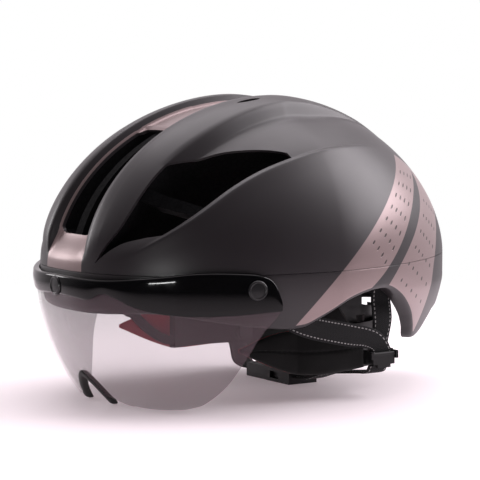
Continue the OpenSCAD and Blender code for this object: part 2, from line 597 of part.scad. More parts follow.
module dial_pinion() {
    tooth = 360/pinion_teeth;
    color("#c9c9cc") difference() {
        union() {
            along_y(ring_y + cradle_in + 0.4) cylinder(r = 2, h = rack_in - cradle_in);
            along_y(ring_y + rack_in - 0.1) {
                cylinder(r = pitch_r - tooth_m*1.05, h = rack_t + 0.2);
                linear_extrude(rack_t + 0.2) for (i = [0:pinion_teeth - 1]) rotate(i*tooth)
                    polygon([[pitch_r - 1.3*tooth_m, -0.85*tooth_m], [pitch_r - tooth_m, -0.8*tooth_m],
                        [pitch_r + 0.7*tooth_m, -0.25*tooth_m],
                        [pitch_r + 0.7*tooth_m, 0.25*tooth_m], [pitch_r - tooth_m, 0.8*tooth_m],
                            [pitch_r - 1.3*tooth_m, 0.85*tooth_m]]);
            }
            along_y(ring_y + rack_out) cylinder(r = 3, h = 6.9);
            along_y(ring_y + rack_out + 6.8) intersection() {
                cylinder(r = 2.6, h = 2.8);
                translate([-3, -2, 0]) cube([6, 6, 3]);
            }
        }
        along_y(ring_y + rack_out + 3) cylinder(r = 1.05, h = 8);
    }
}
DIAL_Y = 4.2;
module fit_dial() {
    color("#1b1b1d") along_y(ring_y + rack_out + DIAL_Y) difference() {
        cylinder(r = dial_r, h = 6.4);
        translate([0, 0, -1]) cylinder(r = dial_r - 2.6, h = 3.8);
        for (a = [0:15:345]) rotate(a) translate([dial_r - 2.6, 0, -1]) cylinder(r = 0.8, h = 3.8);
        for (a = [0:20:340]) rotate(a) translate([dial_r + 0.8, 0, -1]) cylinder(r = 1.7, h = 9);
        intersection() {
            cylinder(r = 2.65, h = 5.6);
            translate([-3, -2.05, 0]) cube([6, 6, 7]);
        }
        translate([0, 0, 5]) cylinder(r = 3.6, h = 2);
    }
}
module detent_spring() {
    color("#b8bcc2") along_y(ring_y + rack_out + 4.6) {
        rotate(60) rotate_extrude(angle = 300) translate([7.05, 0]) square([0.9, 1.5]);
        for (a = [90, 270]) rotate(a) translate([7.5, -0.35, 0]) cube([dial_r - 2.6 - 0.3 - 7.5, 0.7, 1.5]);
    }
}
module dial_screw() {
    color("silver") along_y(ring_y + rack_out + 4) {
        cylinder(r = 1, h = 6);
        difference() {
            translate([0, 0, 5.7]) cylinder(r = 3, h = 0.8);
            translate([-2, -0.3, 6.1]) cube([4, 0.6, 1]);
            translate([-0.3, -2, 6.1]) cube([0.6, 4, 1]);
        }
    }
}

// Socket in the liner that guides the cradle's arm
module at_socket() {
    translate([cradle_out + slide_gap, ring_y + 12, ring_z + 34]) children();
}
module hanger_socket() {
    at_socket() difference() {
        translate([0, -8, -8]) cube([7, 16, 18]);
        for (z = [-4, 1, 6]) translate([-1, 0, z]) rotate([0, 90, 0]) cylinder(r = 1.4, h = 3);
    }
}
module hanger_socket_left() { color("#202022") hanger_socket(); }
module hanger_socket_right() { color("#202022") mirror([1, 0, 0]) hanger_socket(); }

// Angle round the ring where the side pad leaves the sleeve and runs straight on
PAD_BEND = -20;
// Side pads: a pointed tip at the temple, full height beside the ear
function on_sleeve(a) = [(sleeve_out + foam_gap)*cos(a), ring_y + (sleeve_out + foam_gap)*sin(a)];
function pad_path(u) = let (a = mix(-52, 20, u))
    a > PAD_BEND ? on_sleeve(a) : on_sleeve(PAD_BEND) + (a - PAD_BEND)*[0.01, 1.27];
module side_pad() {
    cushion(function (u, v, h)
        let (p = pad_path(u), low = curve([[0, 34], [0.3, 22], [0.5, 17], [1, 18]], u),
            top = curve([[0, 36], [0.25, 43], [0.5, 45], [1, 44]], u))
        [p[0] + h, p[1], mix(top, low, v)], 18, 8, side_pad_t);
}
module side_pad_left() { color("#141415") side_pad(); }
module side_pad_right() { color("#141415") mirror([1, 0, 0]) side_pad(); }

// Webbing along a hand-set route; each knot is a point and the direction of the webbing's width
function along(k, u, c) = curve([for (i = [0:len(k) - 1]) [i/(len(k) - 1), k[i][c]]], u);
module webbing(k, n) {
    sweep([for (i = [0:n]) let (u = i/n, p = [for (c = [0:2]) along(k, u, c)],
            q = [for (c = [0:2]) along(k, min(u + 0.01, 1), c) - along(k, max(u - 0.01, 0), c)],
            w = unit([for (c = [3:5]) along(k, u, c)])*web_w/2, h = unit(cross(q, w))*web_t/2)
        [p + w + h, p - w + h, p - w - h, p + w - h]]);
}
FRONT_ROUTE = [[87, -34, 61, 0, 1, 0], [87, -33.6, 54.8, 0, 0.98, 0.15], [86, -24, 50.5, 0, 0.75, 0.6],
    [84.6, -8, 46, 0, 0.5, 0.85],
    [84.2, 14, 41, 0, 0.45, 0.9], [83.9, 31, 37, 0, 0.75, 0.65], [83.6, 39, 30, 0, 1, 0.05],
        [83.5, 39, 22, 0, 1, 0]];
REAR_ROUTE = [[73, 47.6, 71, 0, 1, 0], [72.6, 47, 60, 0, 1, 0], [74.3, 46.5, 54, 0, 1, 0.1],
    [77.6, 44.5, 45, 0, 0.95, 0.2], [78.3, 41, 33, 0, 1, 0.1], [78.2, 39, 22, 0, 1, 0]];
CHIN_ROUTE = [[81, 39, 20, 0, 1, 0], [77, 39, 15.4, 0, 1, 0], [66, 38, 14, 0, 1, 0],
    [40, 34, 10.5, 0, 1, 0], [24, 30, 5.5, 0, 1, 0], [12.4, 30, 4.5, 0, 1, 0]];
CHIN_ROUTE_FAR = [[81, 39, 20, 0, 1, 0], [77.5, 39, 14, 0, 1, 0], [68, 35, 6.5, 0, 1, 0],
    [54, 31, 4.5, 0, 1, 0], [38.9, 30, 4.5, 0, 1, 0]];
module front_strap_left() { color("#121213") webbing(FRONT_ROUTE, 12); }
module front_strap_right() { color("#121213") mirror([1, 0, 0]) webbing(FRONT_ROUTE, 12); }
module rear_strap_left() { color("#121213") webbing(REAR_ROUTE, 8); }
module rear_strap_right() { color("#121213") mirror([1, 0, 0]) webbing(REAR_ROUTE, 8); }
module chin_strap_left() { color("#121213") webbing(CHIN_ROUTE, 16); }
module chin_strap_right() { color("#121213") mirror([1, 0, 0]) webbing(CHIN_ROUTE_FAR, 14); }

// Strap divider: a plate between the two straps, with ears for its cam lever
DIVIDER = [81, 39, 25.5];
LEVER_AXIS = [5.2, 0, 2];
module at_divider() { translate(DIVIDER) children(); }
module divider() {
    at_divider() difference() {
        union() {
            translate([-1.6, -10.4, -4.5]) cube([3.2, 20.8, 9]);
            for (y = [-10.4, 8.6]) translate([-1.6, y, -1]) cube([8.8, 1.8, 4.8]);
        }
        translate([LEVER_AXIS[0], -11, LEVER_AXIS[2]]) rotate([-90, 0, 0]) cylinder(r = 0.8 + run_gap,
            h = 22);
    }
}
module divider_lever() {
    at_divider() {
        translate([3.9, -8.2, -4.5]) cube([2.4, 16.4, 7]);
        translate([LEVER_AXIS[0], -10, LEVER_AXIS[2]]) rotate([-90, 0, 0]) cylinder(r = 0.8, h = 20);
        translate([LEVER_AXIS[0], -8.2, LEVER_AXIS[2]]) rotate([-90, 0, 0]) cylinder(r = 1.3, h = 16.4);
        translate([4.2, -5, -6.5]) cube([2.1, 10, 2.2]);
    }
}
module divider_left() { color("#1d1d1f") divider(); }
module divider_right() { color("#1d1d1f") mirror([1, 0, 0]) divider(); }
module divider_lever_left() { color("#2a2a2d") divider_lever(); }
module divider_lever_right() { color("#2a2a2d") mirror([1, 0, 0]) divider_lever(); }

// Side-release buckle lying on the table
BUCKLE_Y = 30;
SOCKET_X = 12;
module buckle_socket() {
    color("#151516") translate([SOCKET_X - socket_l, BUCKLE_Y, 0]) difference() {
        translate([0, -buckle_w/2, 0]) cube([socket_l, buckle_w, buckle_h]);
        translate([-1, -buckle_w/2 + 2, 2.2]) cube([21, buckle_w - 4, buckle_h - 4.4]);
        for (y = [-buckle_w/2 - 1, buckle_w/2 - 3]) translate([4, y, 2.2]) cube([10, 4, buckle_h - 4.4]);
        translate([socket_l - 3.6, -web_w/2 - 0.5, -1]) cube([1.8, web_w + 1, buckle_h + 2]);
    }
}
PLUG_L = 24;
module buckle_plug() {
    color("#151516") translate([SOCKET_X - socket_l - slide_gap, BUCKLE_Y, 0]) {
        difference() {
            translate([-PLUG_L, -buckle_w/2 + 0.5, 0]) cube([PLUG_L, buckle_w - 1, buckle_h]);
            translate([-PLUG_L + 3, -web_w/2 - 0.5, -1]) cube([1.8, web_w + 1, buckle_h + 2]);
            for (y = [-1, 1]) translate([-3, y*(buckle_w/2 - 4.4), 2]) cylinder(r = 1.45, h = buckle_h - 4);
            for (y = [-1, 1]) translate([-3, y*(buckle_w/2 - 4.4) - 1.4, 2]) cube([5, 2.8, buckle_h - 4]);
        }
        translate([-1, -1.5, 3]) cube([19, 3, buckle_h - 6]);
    }
}
module buckle_prong() {
    translate([SOCKET_X - socket_l - slide_gap - 3, BUCKLE_Y - buckle_w/2 + 4.4, 0]) {
        translate([0, 0, 2.3]) cylinder(r = 1.2, h = buckle_h - 4.6);
        translate([0, -0.9, 2.5]) cube([18, 1.8, buckle_h - 5]);
        translate([8, -2.1, 2.5]) cube([8, 2, buckle_h - 5]);
    }
}
module buckle_prong_front() { color("#151516") buckle_prong(); }
module buckle_prong_rear() { color("#151516") translate([0, 2*BUCKLE_Y, 0]) mirror([0, 1,
    0]) buckle_prong(); }

// Clips that hold the webbing's upper ends in the foam: [place of the webbing's end]
CLIPS = [[87, -34, 61], [73, 48, 71]];
CLIP = [5, 19, 8];
module clip_seats(gap, drop) {
    for (c = CLIPS) translate([c[0] - CLIP[0]/2 - gap, c[1] - CLIP[1]/2 - gap, c[2] - 5 - drop])
        cube([CLIP[0] + 2*gap, CLIP[1] + 2*gap, CLIP[2] + drop + gap]);
}
module strap_clips() {
    color("#202022") mirrored_copy() difference() {
        clip_seats(0, 0);
        for (c = CLIPS) translate([c[0] - web_t/2 - 0.4, c[1] - web_w/2 - 0.9,
            c[2] - 6]) cube([web_t + 0.8, web_w + 1.8, 7]);
    }
}

outer_shell();
lower_shell();
liner();
brow_pad();
crown_pad_left();
crown_pad_right();
side_pad_left();
side_pad_right();
shell_magnets();
visor_frame();
lens();
nose_piece();
visor_magnets();
visor_buttons();
temple_anchor_left();
temple_anchor_right();
band_left();
band_right();
rack_left();
rack_right();
cradle();
dial_cover();
fit_dial();
dial_pinion();
detent_spring();
dial_screw();
hanger_socket_left();
hanger_socket_right();
front_strap_left();
front_strap_right();
rear_strap_left();
rear_strap_right();
divider_left();
divider_right();
divider_lever_left();
divider_lever_right();
chin_strap_left();
chin_strap_right();
buckle_socket();
buckle_plug();
buckle_prong_front();
buckle_prong_rear();
strap_clips();
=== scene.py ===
import json
import math
from collections import namedtuple

import bmesh
import bpy
import numpy as np
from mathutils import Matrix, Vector

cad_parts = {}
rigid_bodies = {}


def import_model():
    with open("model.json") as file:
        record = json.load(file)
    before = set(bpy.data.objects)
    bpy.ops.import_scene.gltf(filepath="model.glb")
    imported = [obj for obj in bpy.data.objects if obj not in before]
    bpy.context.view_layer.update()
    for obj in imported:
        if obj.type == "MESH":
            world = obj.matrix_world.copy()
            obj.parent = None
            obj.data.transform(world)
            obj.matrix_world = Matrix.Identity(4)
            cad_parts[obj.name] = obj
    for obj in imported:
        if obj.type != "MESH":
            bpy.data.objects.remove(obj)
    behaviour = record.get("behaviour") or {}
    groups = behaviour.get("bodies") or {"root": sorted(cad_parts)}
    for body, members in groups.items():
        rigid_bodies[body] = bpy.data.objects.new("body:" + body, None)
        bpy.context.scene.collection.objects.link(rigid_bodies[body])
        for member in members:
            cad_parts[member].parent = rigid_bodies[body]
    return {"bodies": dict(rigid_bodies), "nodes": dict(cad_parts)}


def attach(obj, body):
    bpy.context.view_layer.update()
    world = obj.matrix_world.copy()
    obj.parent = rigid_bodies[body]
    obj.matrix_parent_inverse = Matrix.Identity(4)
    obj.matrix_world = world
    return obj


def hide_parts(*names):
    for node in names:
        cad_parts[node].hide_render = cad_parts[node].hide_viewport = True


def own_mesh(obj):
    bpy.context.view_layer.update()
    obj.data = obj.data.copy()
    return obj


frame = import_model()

bl_info = {
    "name": "Bicycle Helmet Dresser",
    "version": (1, 0, 0),
    "blender": (4, 5, 0),
    "location": "View3D > Sidebar > Helmet",
    "description": "Shells, foam, shield, pads and webbing of a shielded helmet, built over its solid model",
    "category": "Add Mesh",
}

# Sizes are in millimetres here and become metres when a mesh is made. Places along a dome are in degrees from
# the brow over the crown to the tail, and places across it in degrees from the centre line.
Dome = namedtuple("Dome", "half ahead behind rise front_power rear_power brow_power belly_power tail_power")
SHELL = Dome(103, 136, 148, 105.4, 1.9, 1.75, 2.3, 2.15, 1.55)
CAVE = Dome(80, 108, 104, 82, 2, 2, 2.2, 2.2, 2.1)
BELLY_Y = -4.0
SEAM_Z = 83.2
BROW_RIM_Z = 58.0
LOBE_Z = 31.0
CORE = np.array([0, BELLY_Y, SEAM_Z])
TAIL_BLUNT = 0.1
SKIN = 2.0
FOAM_INSET = 2.3
FOAM_DETAIL = 0.8
GROOVE_DEPTH = 6

# Relief of the shell: centre channel, ridges, side valleys and the crease over the flank
CHANNEL_DEPTH = 6
CHANNEL_HALF = 10
CHANNEL_FOOT = CHANNEL_HALF - 1
CHANNEL_TOP = CHANNEL_HALF + 0.4
VALLEY_DEPTH = 7
RIDGE_RISE = 1
CREASE_RISE = 0.6
FLANK_SHARE = 0.14
SLOT_LIP_AT = 58.6
SLOT_LIP_RISE = 1.3
SMOOTHING = ((-0.5, 0.12), (-0.25, 0.23), (0, 0.3), (0.25, 0.23), (0.5, 0.12))
RIDGE = [[0, 13.5], [8, 18], [19, 23.5], [40, 25], [60, 25.3], [77, 23], [97, 18.5], [110, 16], [130, 13]]
CREASE = [[0, 20], [15.5, 37.5], [27, 45], [41, 48.8], [65, 50.8], [83, 50], [102, 46], [119, 37.5],
          [130, 30], [150, 20], [180, 17]]

# Openings: where they start and end along the shell, and their half widths across it
SIDE_VENT = (4, 75.5)
BROW_SLOT = (13, 57)
FOAM_SLOT = (6, 57)
NOTCH = (76.2, 83.8)
CROWN_SLOT = (94, 125)
TAIL_SLOT = (146, 158)
BRIDGE = (28, 33)
CROWN_FROM = 75
TAIL_FROM = 135
RIB_HALF = 1.5
SLOT_TIP_HALF = 2.4
CROWN_SLOT_HALF = 8
TAIL_SLOT_HALF = 9.5
NOTCH_HALF = 0.95
NOTCH_AT = 16
LEAST_GAP = 0.4
VENT_LIP = [[4, 15.6], [11.5, 24], [14.5, 30.5], [16.5, 36.5], [20, 60]]
VENT_ARCH = [[42, 24.8], [48, 28], [57, 33], [63, 37.3], [69, 41.5], [75.5, 46.5]]
# Columns of the shell's grid in each strip, from the centre line out, and the strips that hold openings
ROW_STEP = 0.9
STRIPS = (2, 6, 2, 5, 3, 2, 4, 5, 6, 8, 8, 4, 6, 34)
RIB_STRIP, SLOT_STRIP, NOTCH_STRIP, VENT_STRIP = 0, 1, 5, 9

# Rims: [distance back, height over or under the brow rim]
RIM_POINTS = 900
SKIRT_DROP = 34
RIM_TUCK = 6
TAIL_TUCK = 11
RIM_ROUND = 2.6
SEAM_GAP = 0.3
SEAM_INSET = 0.05
RIM = [[-140, 0], [-116, 2], [-86, -3], [-50, -8.2], [-30, -8.4], [-18.5, -4], [-9.8, 0], [1, 5.5],
       [9.4, 8.2], [19, 10.2], [28, 11.2], [39, 10.8], [53.6, 4.8], [67.7, -4.2], [84, -17], [91, -23],
       [97, -25], [103, -23], [109, -17], [116, -12], [144, -11]]
FOAM_EDGE = [[-112, 4], [-56, -5], [-30, -5], [-12, 2], [5, 9], [19, 13], [39, 13.5], [54, 9], [68, 4],
             [100, 4]]

# Shield: edges as [degrees round from the centre line, height], the frame's from the seam
SHIELD_GAP = 0.8
LENS_T = 1.8
FRAME_T = 1.7
SHIELD_END = 74.3
NOSE_Z = 20.5
NOSE_HALF = 8.0
NOSE_SIDE_Z = 4.5
LENS_EDGE = [[20, 1.2], [27, 0.2], [34, 0], [41, 0.6], [45, 1.9], [49.8, 4.8], [58, 17], [65, 36],
             [68.8, 47.8], [73, 57.7], [75, 64]]
FRAME_TOP = [[0, -2.8], [20, -3.2], [39, -0.5], [52, 2], [65.5, 1.2], [70.5, -1.2], [72.8, -6], [75, -20]]
FRAME_LOW = [[0, -14.5], [8, -15.4], [14, -15.8], [20, -11.8], [25, -14], [30, -18], [34, -20.3], [41, -22.5],
             [50, -23.8], [63, -23.2], [75, -21.6]]
FRAME_LAP = 6
LENS_LAP = 5.5
LENS_ROUND = 0.35
LENS_EDGES = np.array([[0.5, 1.3]])
MAGNETS = [[0, -9.5], [67.5, -8.5], [-67.5, -8.5]]
BUTTON = [[0, 0], [6, 0], [6, 0.9], [5.85, 1.35], [5.4, 1.75], [4.9, 1.8], [4.55, 1.62], [4.35, 1.3],
          [3.2, 1.38], [1.4, 1.5], [0, 1.52]]

# Pads and webbing. BACK_U sets a pad's backing beside its face in the UV. A route's knots are a point and the
# direction of the webbing's width.
PAD_T = 6
SEAM_DIP = 0.55
PUCKER_RISE = 0.10
FOLD_RISE = 0.16
BACK_U = 1.1
SIDE_PAD_T = 3.4
RING_Y = 8
SLEEVE_OUT = 76.2
WEB_W = 15
WEB_T = 1.6
WEB_SIDES = 32
FRONT_ROUTE = [[87, -34, 61, 0, 1, 0], [87, -33.6, 54.8, 0, 0.98, 0.15], [86, -24, 50.5, 0, 0.75, 0.6],
               [84.6, -8, 46, 0, 0.5, 0.85], [84.2, 14, 41, 0, 0.45, 0.9], [83.9, 31, 37, 0, 0.75, 0.65],
               [83.6, 39, 30, 0, 1, 0.05], [83.5, 39, 22, 0, 1, 0]]
REAR_ROUTE = [[73, 47.6, 71, 0, 1, 0], [72.6, 47, 60, 0, 1, 0], [74.3, 46.5, 54, 0, 1, 0.1],
              [77.6, 44.5, 45, 0, 0.95, 0.2], [78.3, 41, 33, 0, 1, 0.1], [78.2, 39, 22, 0, 1, 0]]
CHIN_ROUTE = [[81, 39, 20, 0, 1, 0], [77, 39, 15.4, 0, 1, 0], [66, 38, 14, 0, 1, 0], [40, 34, 10.5, 0, 1, 0],
              [24, 30, 5.5, 0, 1, 0], [12.4, 30, 4.5, 0, 1, 0]]
CHIN_ROUTE_FAR = [[81, 39, 20, 0, 1, 0], [77.5, 39, 14, 0, 1, 0], [68, 35, 6.5, 0, 1, 0],
                  [54, 31, 4.5, 0, 1, 0], [38.9, 30, 4.5, 0, 1, 0]]

# Painted panels on each flank: [height, distance back] along their edges, and their rows of dots
PANEL_EDGES = {
    "first_front": [[52.4, -33.5], [61.9, -25.1], [73.3, -13.5], [83.7, -4.4], [90.6, 1.8], [100.7, 14.9],
                    [110.7, 28.5], [120.4, 39.2], [130.7, 49.9], [140.4, 61.9], [147.6, 74.6]],
    "first_rear": [[71.3, 22], [78.6, 32.4], [87, 41.6], [95, 50.9], [103.6, 59.1], [113.5, 67.3],
                   [123.5, 75.8], [132, 86.6]],
    "second_front": [[68.6, 36.2], [76.3, 43.2], [83.7, 52], [92.3, 60.5], [100.9, 69.6], [110.1, 78.5],
                     [120.1, 86.1], [126.1, 90.3]],
    "second_rear": [[40.9, 85.4], [49.1, 89.8], [58.6, 92.6], [71.5, 95.8], [80.7, 100.6], [93.1, 105.1],
                    [100.3, 109.2]],
}
# Across a panel the dots start and end at shares of its width. A row's lean holds at the height LEAN_Z.
FIRST_DOTS = dict(first=99.4, step=6.26, lean=0.14, fan=0.0056, rows=7, dots=4)
SECOND_DOTS = dict(first=72.9, step=9.0, lean=0.38, fan=0.0, rows=6, dots=5)
LEAN_Z = 145
DOTS_START = 0.13
DOTS_SHARE = 0.8
PAINT_EDGE = 0.25
# Zones of the shells, which their UV carries to the paint
CHANNEL, PLAIN, FLANK = 0.0, 1.0, 2.0

# Fine patterns of the materials
BEAD_SIZE = 3.4
LOOP_TURN = 4.2
RIB_W = 1.25
THREAD_INSET = 1.7
STITCH = 2.6

# The photograph's frame in pixels, where the helmet's aim point falls in it, and that point in metres
PHOTO = 480
AIM_PIXEL = (259.23, 241.23)
AIM = Vector((0, 0.004, 0.0932))
# How far out in metres the floor is half clear, and over how much either way it fades
FLOOR_REACH = 0.44
FLOOR_FADE = 0.24


# Curves and surfaces

def ease(a, b, v):
    """Smooth step from 0 at a to 1 at b."""
    u = np.clip((np.asarray(v, float) - a)/(b - a), 0, 1)
    return u*u*(3 - 2*u)


def mix(a, b, u):
    """Straight blend from a to b."""
    return a + (b - a)*u


def signed_power(v, p):
    """Power of the size of v, with the sign of v."""
    return np.sign(v)*np.abs(v)**p


def curve(knots, v):
    """Smooth curve through [place, value] knots: a cubic between two, sloped by the knots either side."""
    x, y = np.array(knots, float).T
    c = np.diff(y)/np.diff(x)
    m = np.concatenate([c[:1], (y[2:] - y[:-2])/(x[2:] - x[:-2]), c[-1:]])
    i = np.clip(np.searchsorted(x, v, side="right") - 1, 0, len(x) - 2)
    h, c, a, b = x[i + 1] - x[i], c[i], m[i], m[i + 1]
    u = np.clip((v - x[i])/h, 0, 1)
    return y[i] + h*u*(a + u*(3*c - 2*a - b + u*(a + b - 2*c)))


def steps(x, y, v):
    """Straight lines between knots, row by row: x and y hold each row's knots, and v each row's places."""
    i = np.clip((v[:, :, None] >= x[:, None, :]).sum(-1) - 1, 0, x.shape[1] - 2)
    x0, x1 = np.take_along_axis(x, i, 1), np.take_along_axis(x, i + 1, 1)
    y0, y1 = np.take_along_axis(y, i, 1), np.take_along_axis(y, i + 1, 1)
    return y0 + (y1 - y0)*np.clip((v - x0)/np.maximum(x1 - x0, 1e-9), 0, 1)


def dome(d, s, t):
    """Dome surface: s runs 0 to 180 from brow over crown to tail, t runs -90 to 90 across. The profile is a
    superellipse in s. Each arch across is one in t, its power blended from brow to belly to tail."""
    s, t = np.broadcast_arrays(np.asarray(s, float), np.asarray(t, float))
    c, front = np.cos(np.radians(s)), np.cos(np.radians(s)) > 0
    e = np.where(front, d.front_power, d.rear_power)
    m = d.belly_power + (np.where(front, d.brow_power, d.tail_power) - d.belly_power)*c*c
    x = signed_power(np.sin(np.radians(t)), 2/m)
    blunt = np.where(front, 0, (TAIL_BLUNT*c)**2)
    h = np.maximum((1 - (x*x + blunt*(1 - x*x))**(m/2))/(1 - blunt**(m/2)), 0)**(1/m)
    y = BELLY_Y + h*np.where(front, -d.ahead, d.behind)*np.abs(c)**(2/e)
    z = SEAM_Z + h*d.rise*np.maximum(np.sin(np.radians(s)), 0)**(2/e)
    return np.stack([d.half*x, y, z], -1)


def zone_mark(zone):
    """A zone as the UV's second coordinate."""
    return 0.5 + zone/180


def lift(p, h):
    """Moves points away from the dome's core by h."""
    v = p - CORE
    return CORE + v*(1 + np.asarray(h)/np.linalg.norm(v, axis=-1))[..., None]


def lift_flat(p, h):
    """Moves points away from the core's upright line by h, at their own height."""
    v = (p - CORE)*[1, 1, 0]
    w = v*(1 + np.asarray(h)/np.linalg.norm(v, axis=-1))[..., None]
    return np.stack([w[..., 0], w[..., 1] + BELLY_Y, p[..., 2]], -1)


def at_height(p, z):
    """The same points at height z."""
    return np.stack([p[..., 0], p[..., 1], np.broadcast_to(z, p[..., 0].shape)], -1)


def valley(s):
    """How deep the side valleys are at s: 0 at brow and tail, 1 along the crown."""
    return ease(6, 24, s)*(1 - ease(98, 124, s))


def ridge_foot(s):
    """Where the ridge's outer slope ends."""
    return curve(RIDGE, s) + 1 + 3*valley(s)


def relief(s, t):
    """Height of the shell's outside over its dome: centre channel, ridges, side valleys and crease, as
    straight runs between columns whose places follow s, rounded by a short weighted mean across."""
    f, g = ease(3, 14, s)*(1 - ease(118, 138, s)), valley(s)
    edge, foot, crease, o = curve(RIDGE, s), ridge_foot(s), curve(CREASE, s), np.ones_like(s)
    x = np.stack([0*o, CHANNEL_FOOT*o, CHANNEL_TOP*o, (CHANNEL_HALF + edge)/2, edge, foot, (foot + crease)/2,
                  crease - 1.2, crease, mix(crease, 90, FLANK_SHARE), 91*o], -1)
    y = np.stack([-f*CHANNEL_DEPTH, -f*CHANNEL_DEPTH, f*RIDGE_RISE, f*RIDGE_RISE*1.6, f*RIDGE_RISE,
                  -g*VALLEY_DEPTH, -g*VALLEY_DEPTH*0.7, -g*1.6, g*CREASE_RISE, 0*o, 0*o], -1)
    a = np.abs(t)
    h = sum(w*steps(x, y, np.abs(a + k)) for k, w in SMOOTHING)
    lip = SLOT_LIP_RISE*np.exp(-((s[:, None] - SLOT_LIP_AT)/0.9)**2)
    return h + lip*(1 - ease(CHANNEL_HALF - 1.6, CHANNEL_HALF - 0.8, a))


def drawn_in(s, half, ends):
    """Half width of a rear slot, drawn in towards both of its ends."""
    return half - 2*np.exp(-((s - ends[0])/1.4)**2) - 2*np.exp(-((s - ends[1])/1.4)**2)


def slot_edges(s):
    """Inner and outer edges of the centre channel's slots. The brow slot widens from its tip and has rounded
    ends."""
    round_end = np.sqrt(np.maximum(1 - (np.maximum(s - 54.6, 0)/2.5)**2, 0))
    round_end = round_end*np.sqrt(np.maximum(1 - (np.maximum(15.5 - s, 0)*(s >= BROW_SLOT[0])/2.5)**2, 0))
    far = np.minimum(CHANNEL_HALF - 0.9, SLOT_TIP_HALF + (s - FOAM_SLOT[0])*0.8)
    far = RIB_HALF + (far - RIB_HALF)*np.where(s <= BROW_SLOT[1], mix(0.55, 1, round_end), 1)
    near = np.where(s < CROWN_FROM, RIB_HALF, np.where(s < TAIL_FROM, RIB_HALF + 0.6, 4.5))
    crown, tail = drawn_in(s, CROWN_SLOT_HALF, CROWN_SLOT), drawn_in(s, TAIL_SLOT_HALF, TAIL_SLOT)
    far = np.where(s < CROWN_FROM, far, np.where(s < TAIL_FROM, crown, tail))
    return near, np.where(s < FOAM_SLOT[0], SLOT_TIP_HALF, far)


def shell_grid(fine):
    """Rows and columns of the shell as angles, with every opening's edge on a grid line, and the openings of
    the shell and of the foam as masks of cells."""
    marks = np.array([0, SIDE_VENT[0], FOAM_SLOT[0], BROW_SLOT[0], *BRIDGE, BROW_SLOT[1], SIDE_VENT[1],
                      *NOTCH, *CROWN_SLOT, *TAIL_SLOT, 180.0])
    s = np.arange(0, 180, ROW_STEP/fine)
    s = np.sort(np.concatenate([marks, s[np.abs(s[:, None] - marks).min(1) > 0.35/fine]]))
    edge, crease = curve(RIDGE, s), curve(CREASE, s)
    start = edge - 0.2
    low = np.where(s < 76, np.maximum(start, curve(VENT_ARCH, s)*(s > VENT_ARCH[0][0])), crease - 3.5)
    lip = np.where(s < VENT_LIP[-1][0], curve(VENT_LIP, s), 90)
    high = np.maximum(np.minimum(crease - 1.4, lip), low + LEAST_GAP)
    high = np.where(s < SIDE_VENT[0], low + LEAST_GAP, high)
    foot = np.minimum(ridge_foot(s), low)
    slot_near, slot_far = slot_edges(s)
    notch = NOTCH_HALF*np.sqrt(np.maximum(1 - ((s - 80)/3.9)**2, 0.04))
    mid = np.where(s < 90, NOTCH_AT, np.minimum(NOTCH_AT, (CHANNEL_HALF + edge)/2 + 1))
    mid = np.minimum(mid, edge - 1.6)
    knots = [0*s, slot_near, slot_far, 0*s + CHANNEL_FOOT, 0*s + CHANNEL_TOP, mid - notch, mid + notch, start,
             foot, low, high, crease - 1.2, crease + 0.3, mix(crease, 90, FLANK_SHARE), 90 + 0*s]
    knots = np.maximum.accumulate(np.stack(knots, 0), 0)
    counts = [int(math.ceil(n*fine)) for n in STRIPS]
    strips = [knots[k] + (knots[k + 1] - knots[k])*np.arange(n)[:, None]/n for k, n in enumerate(counts)]
    half = np.concatenate(strips + [knots[-1:]])
    t = np.concatenate([-half[:0:-1], half]).T
    edges = np.cumsum([0] + counts)
    cell = np.abs(np.arange(2*edges[-1]) - edges[-1] + 0.5)
    middle = (s[1:] + s[:-1])/2

    def block(strip, run):
        along = (middle > run[0]) & (middle < run[1])
        return along[:, None] & ((cell > edges[strip]) & (cell < edges[strip + 1]))[None]

    vents = block(VENT_STRIP, SIDE_VENT)
    rear_slots = block(SLOT_STRIP, CROWN_SLOT) | block(SLOT_STRIP, TAIL_SLOT)
    bridge = ((middle > BRIDGE[0]) & (middle < BRIDGE[1]))[:, None]
    brow_slot = block(RIB_STRIP, BROW_SLOT) | block(SLOT_STRIP, BROW_SLOT)
    shell_open = vents | brow_slot | rear_slots | block(NOTCH_STRIP, NOTCH)
    foam_open = (vents & ~bridge) | rear_slots | block(SLOT_STRIP, FOAM_SLOT)
    return s, t, shell_open, foam_open


def cave_scale(d):
    """Distance from the core to the head space's surface along unit directions d."""
    front = d[..., 1] < 0
    along, rise = (d[..., 1]/np.where(front, CAVE.ahead, CAVE.behind))**2, (d[..., 2]/CAVE.rise)**2
    c2 = along/np.maximum(along + rise, 1e-9)
    m = CAVE.belly_power + (np.where(front, CAVE.brow_power, CAVE.tail_power) - CAVE.belly_power)*c2
    rho = np.sqrt(along + rise)
    return (np.abs(d[..., 0]/CAVE.half)**m + rho**m)**(-1/m)


def rim_height(p):
    """Height of the lower shell's rim at seam points p."""
    k = curve(RIM, p[..., 1])
    return BROW_RIM_Z + np.where(k < -10, -10 + (LOBE_Z - BROW_RIM_Z + 10)*(k + 10)/-15, k)


def roll_width(p):
    """Width of the rolled rim under the lower shell at seam points p."""
    return 7 + 2*ease(20, 50, p[..., 1])*(1 - ease(60, 88, p[..., 1]))


def skirt(p, z, inset):
    """Seam points carried down to height z, drawn in towards the core by inset and by the skirt's tuck."""
    d, back = SEAM_Z - z, ease(34, 114, p[..., 1])
    tuck = RIM_TUCK*(np.maximum(d, 0)/SKIRT_DROP)**2*(1 - back)
    tuck = tuck + back*TAIL_TUCK*(np.maximum(d - 16, 0)/SKIRT_DROP)**1.3
    return at_height(lift_flat(p, -inset - tuck), z)


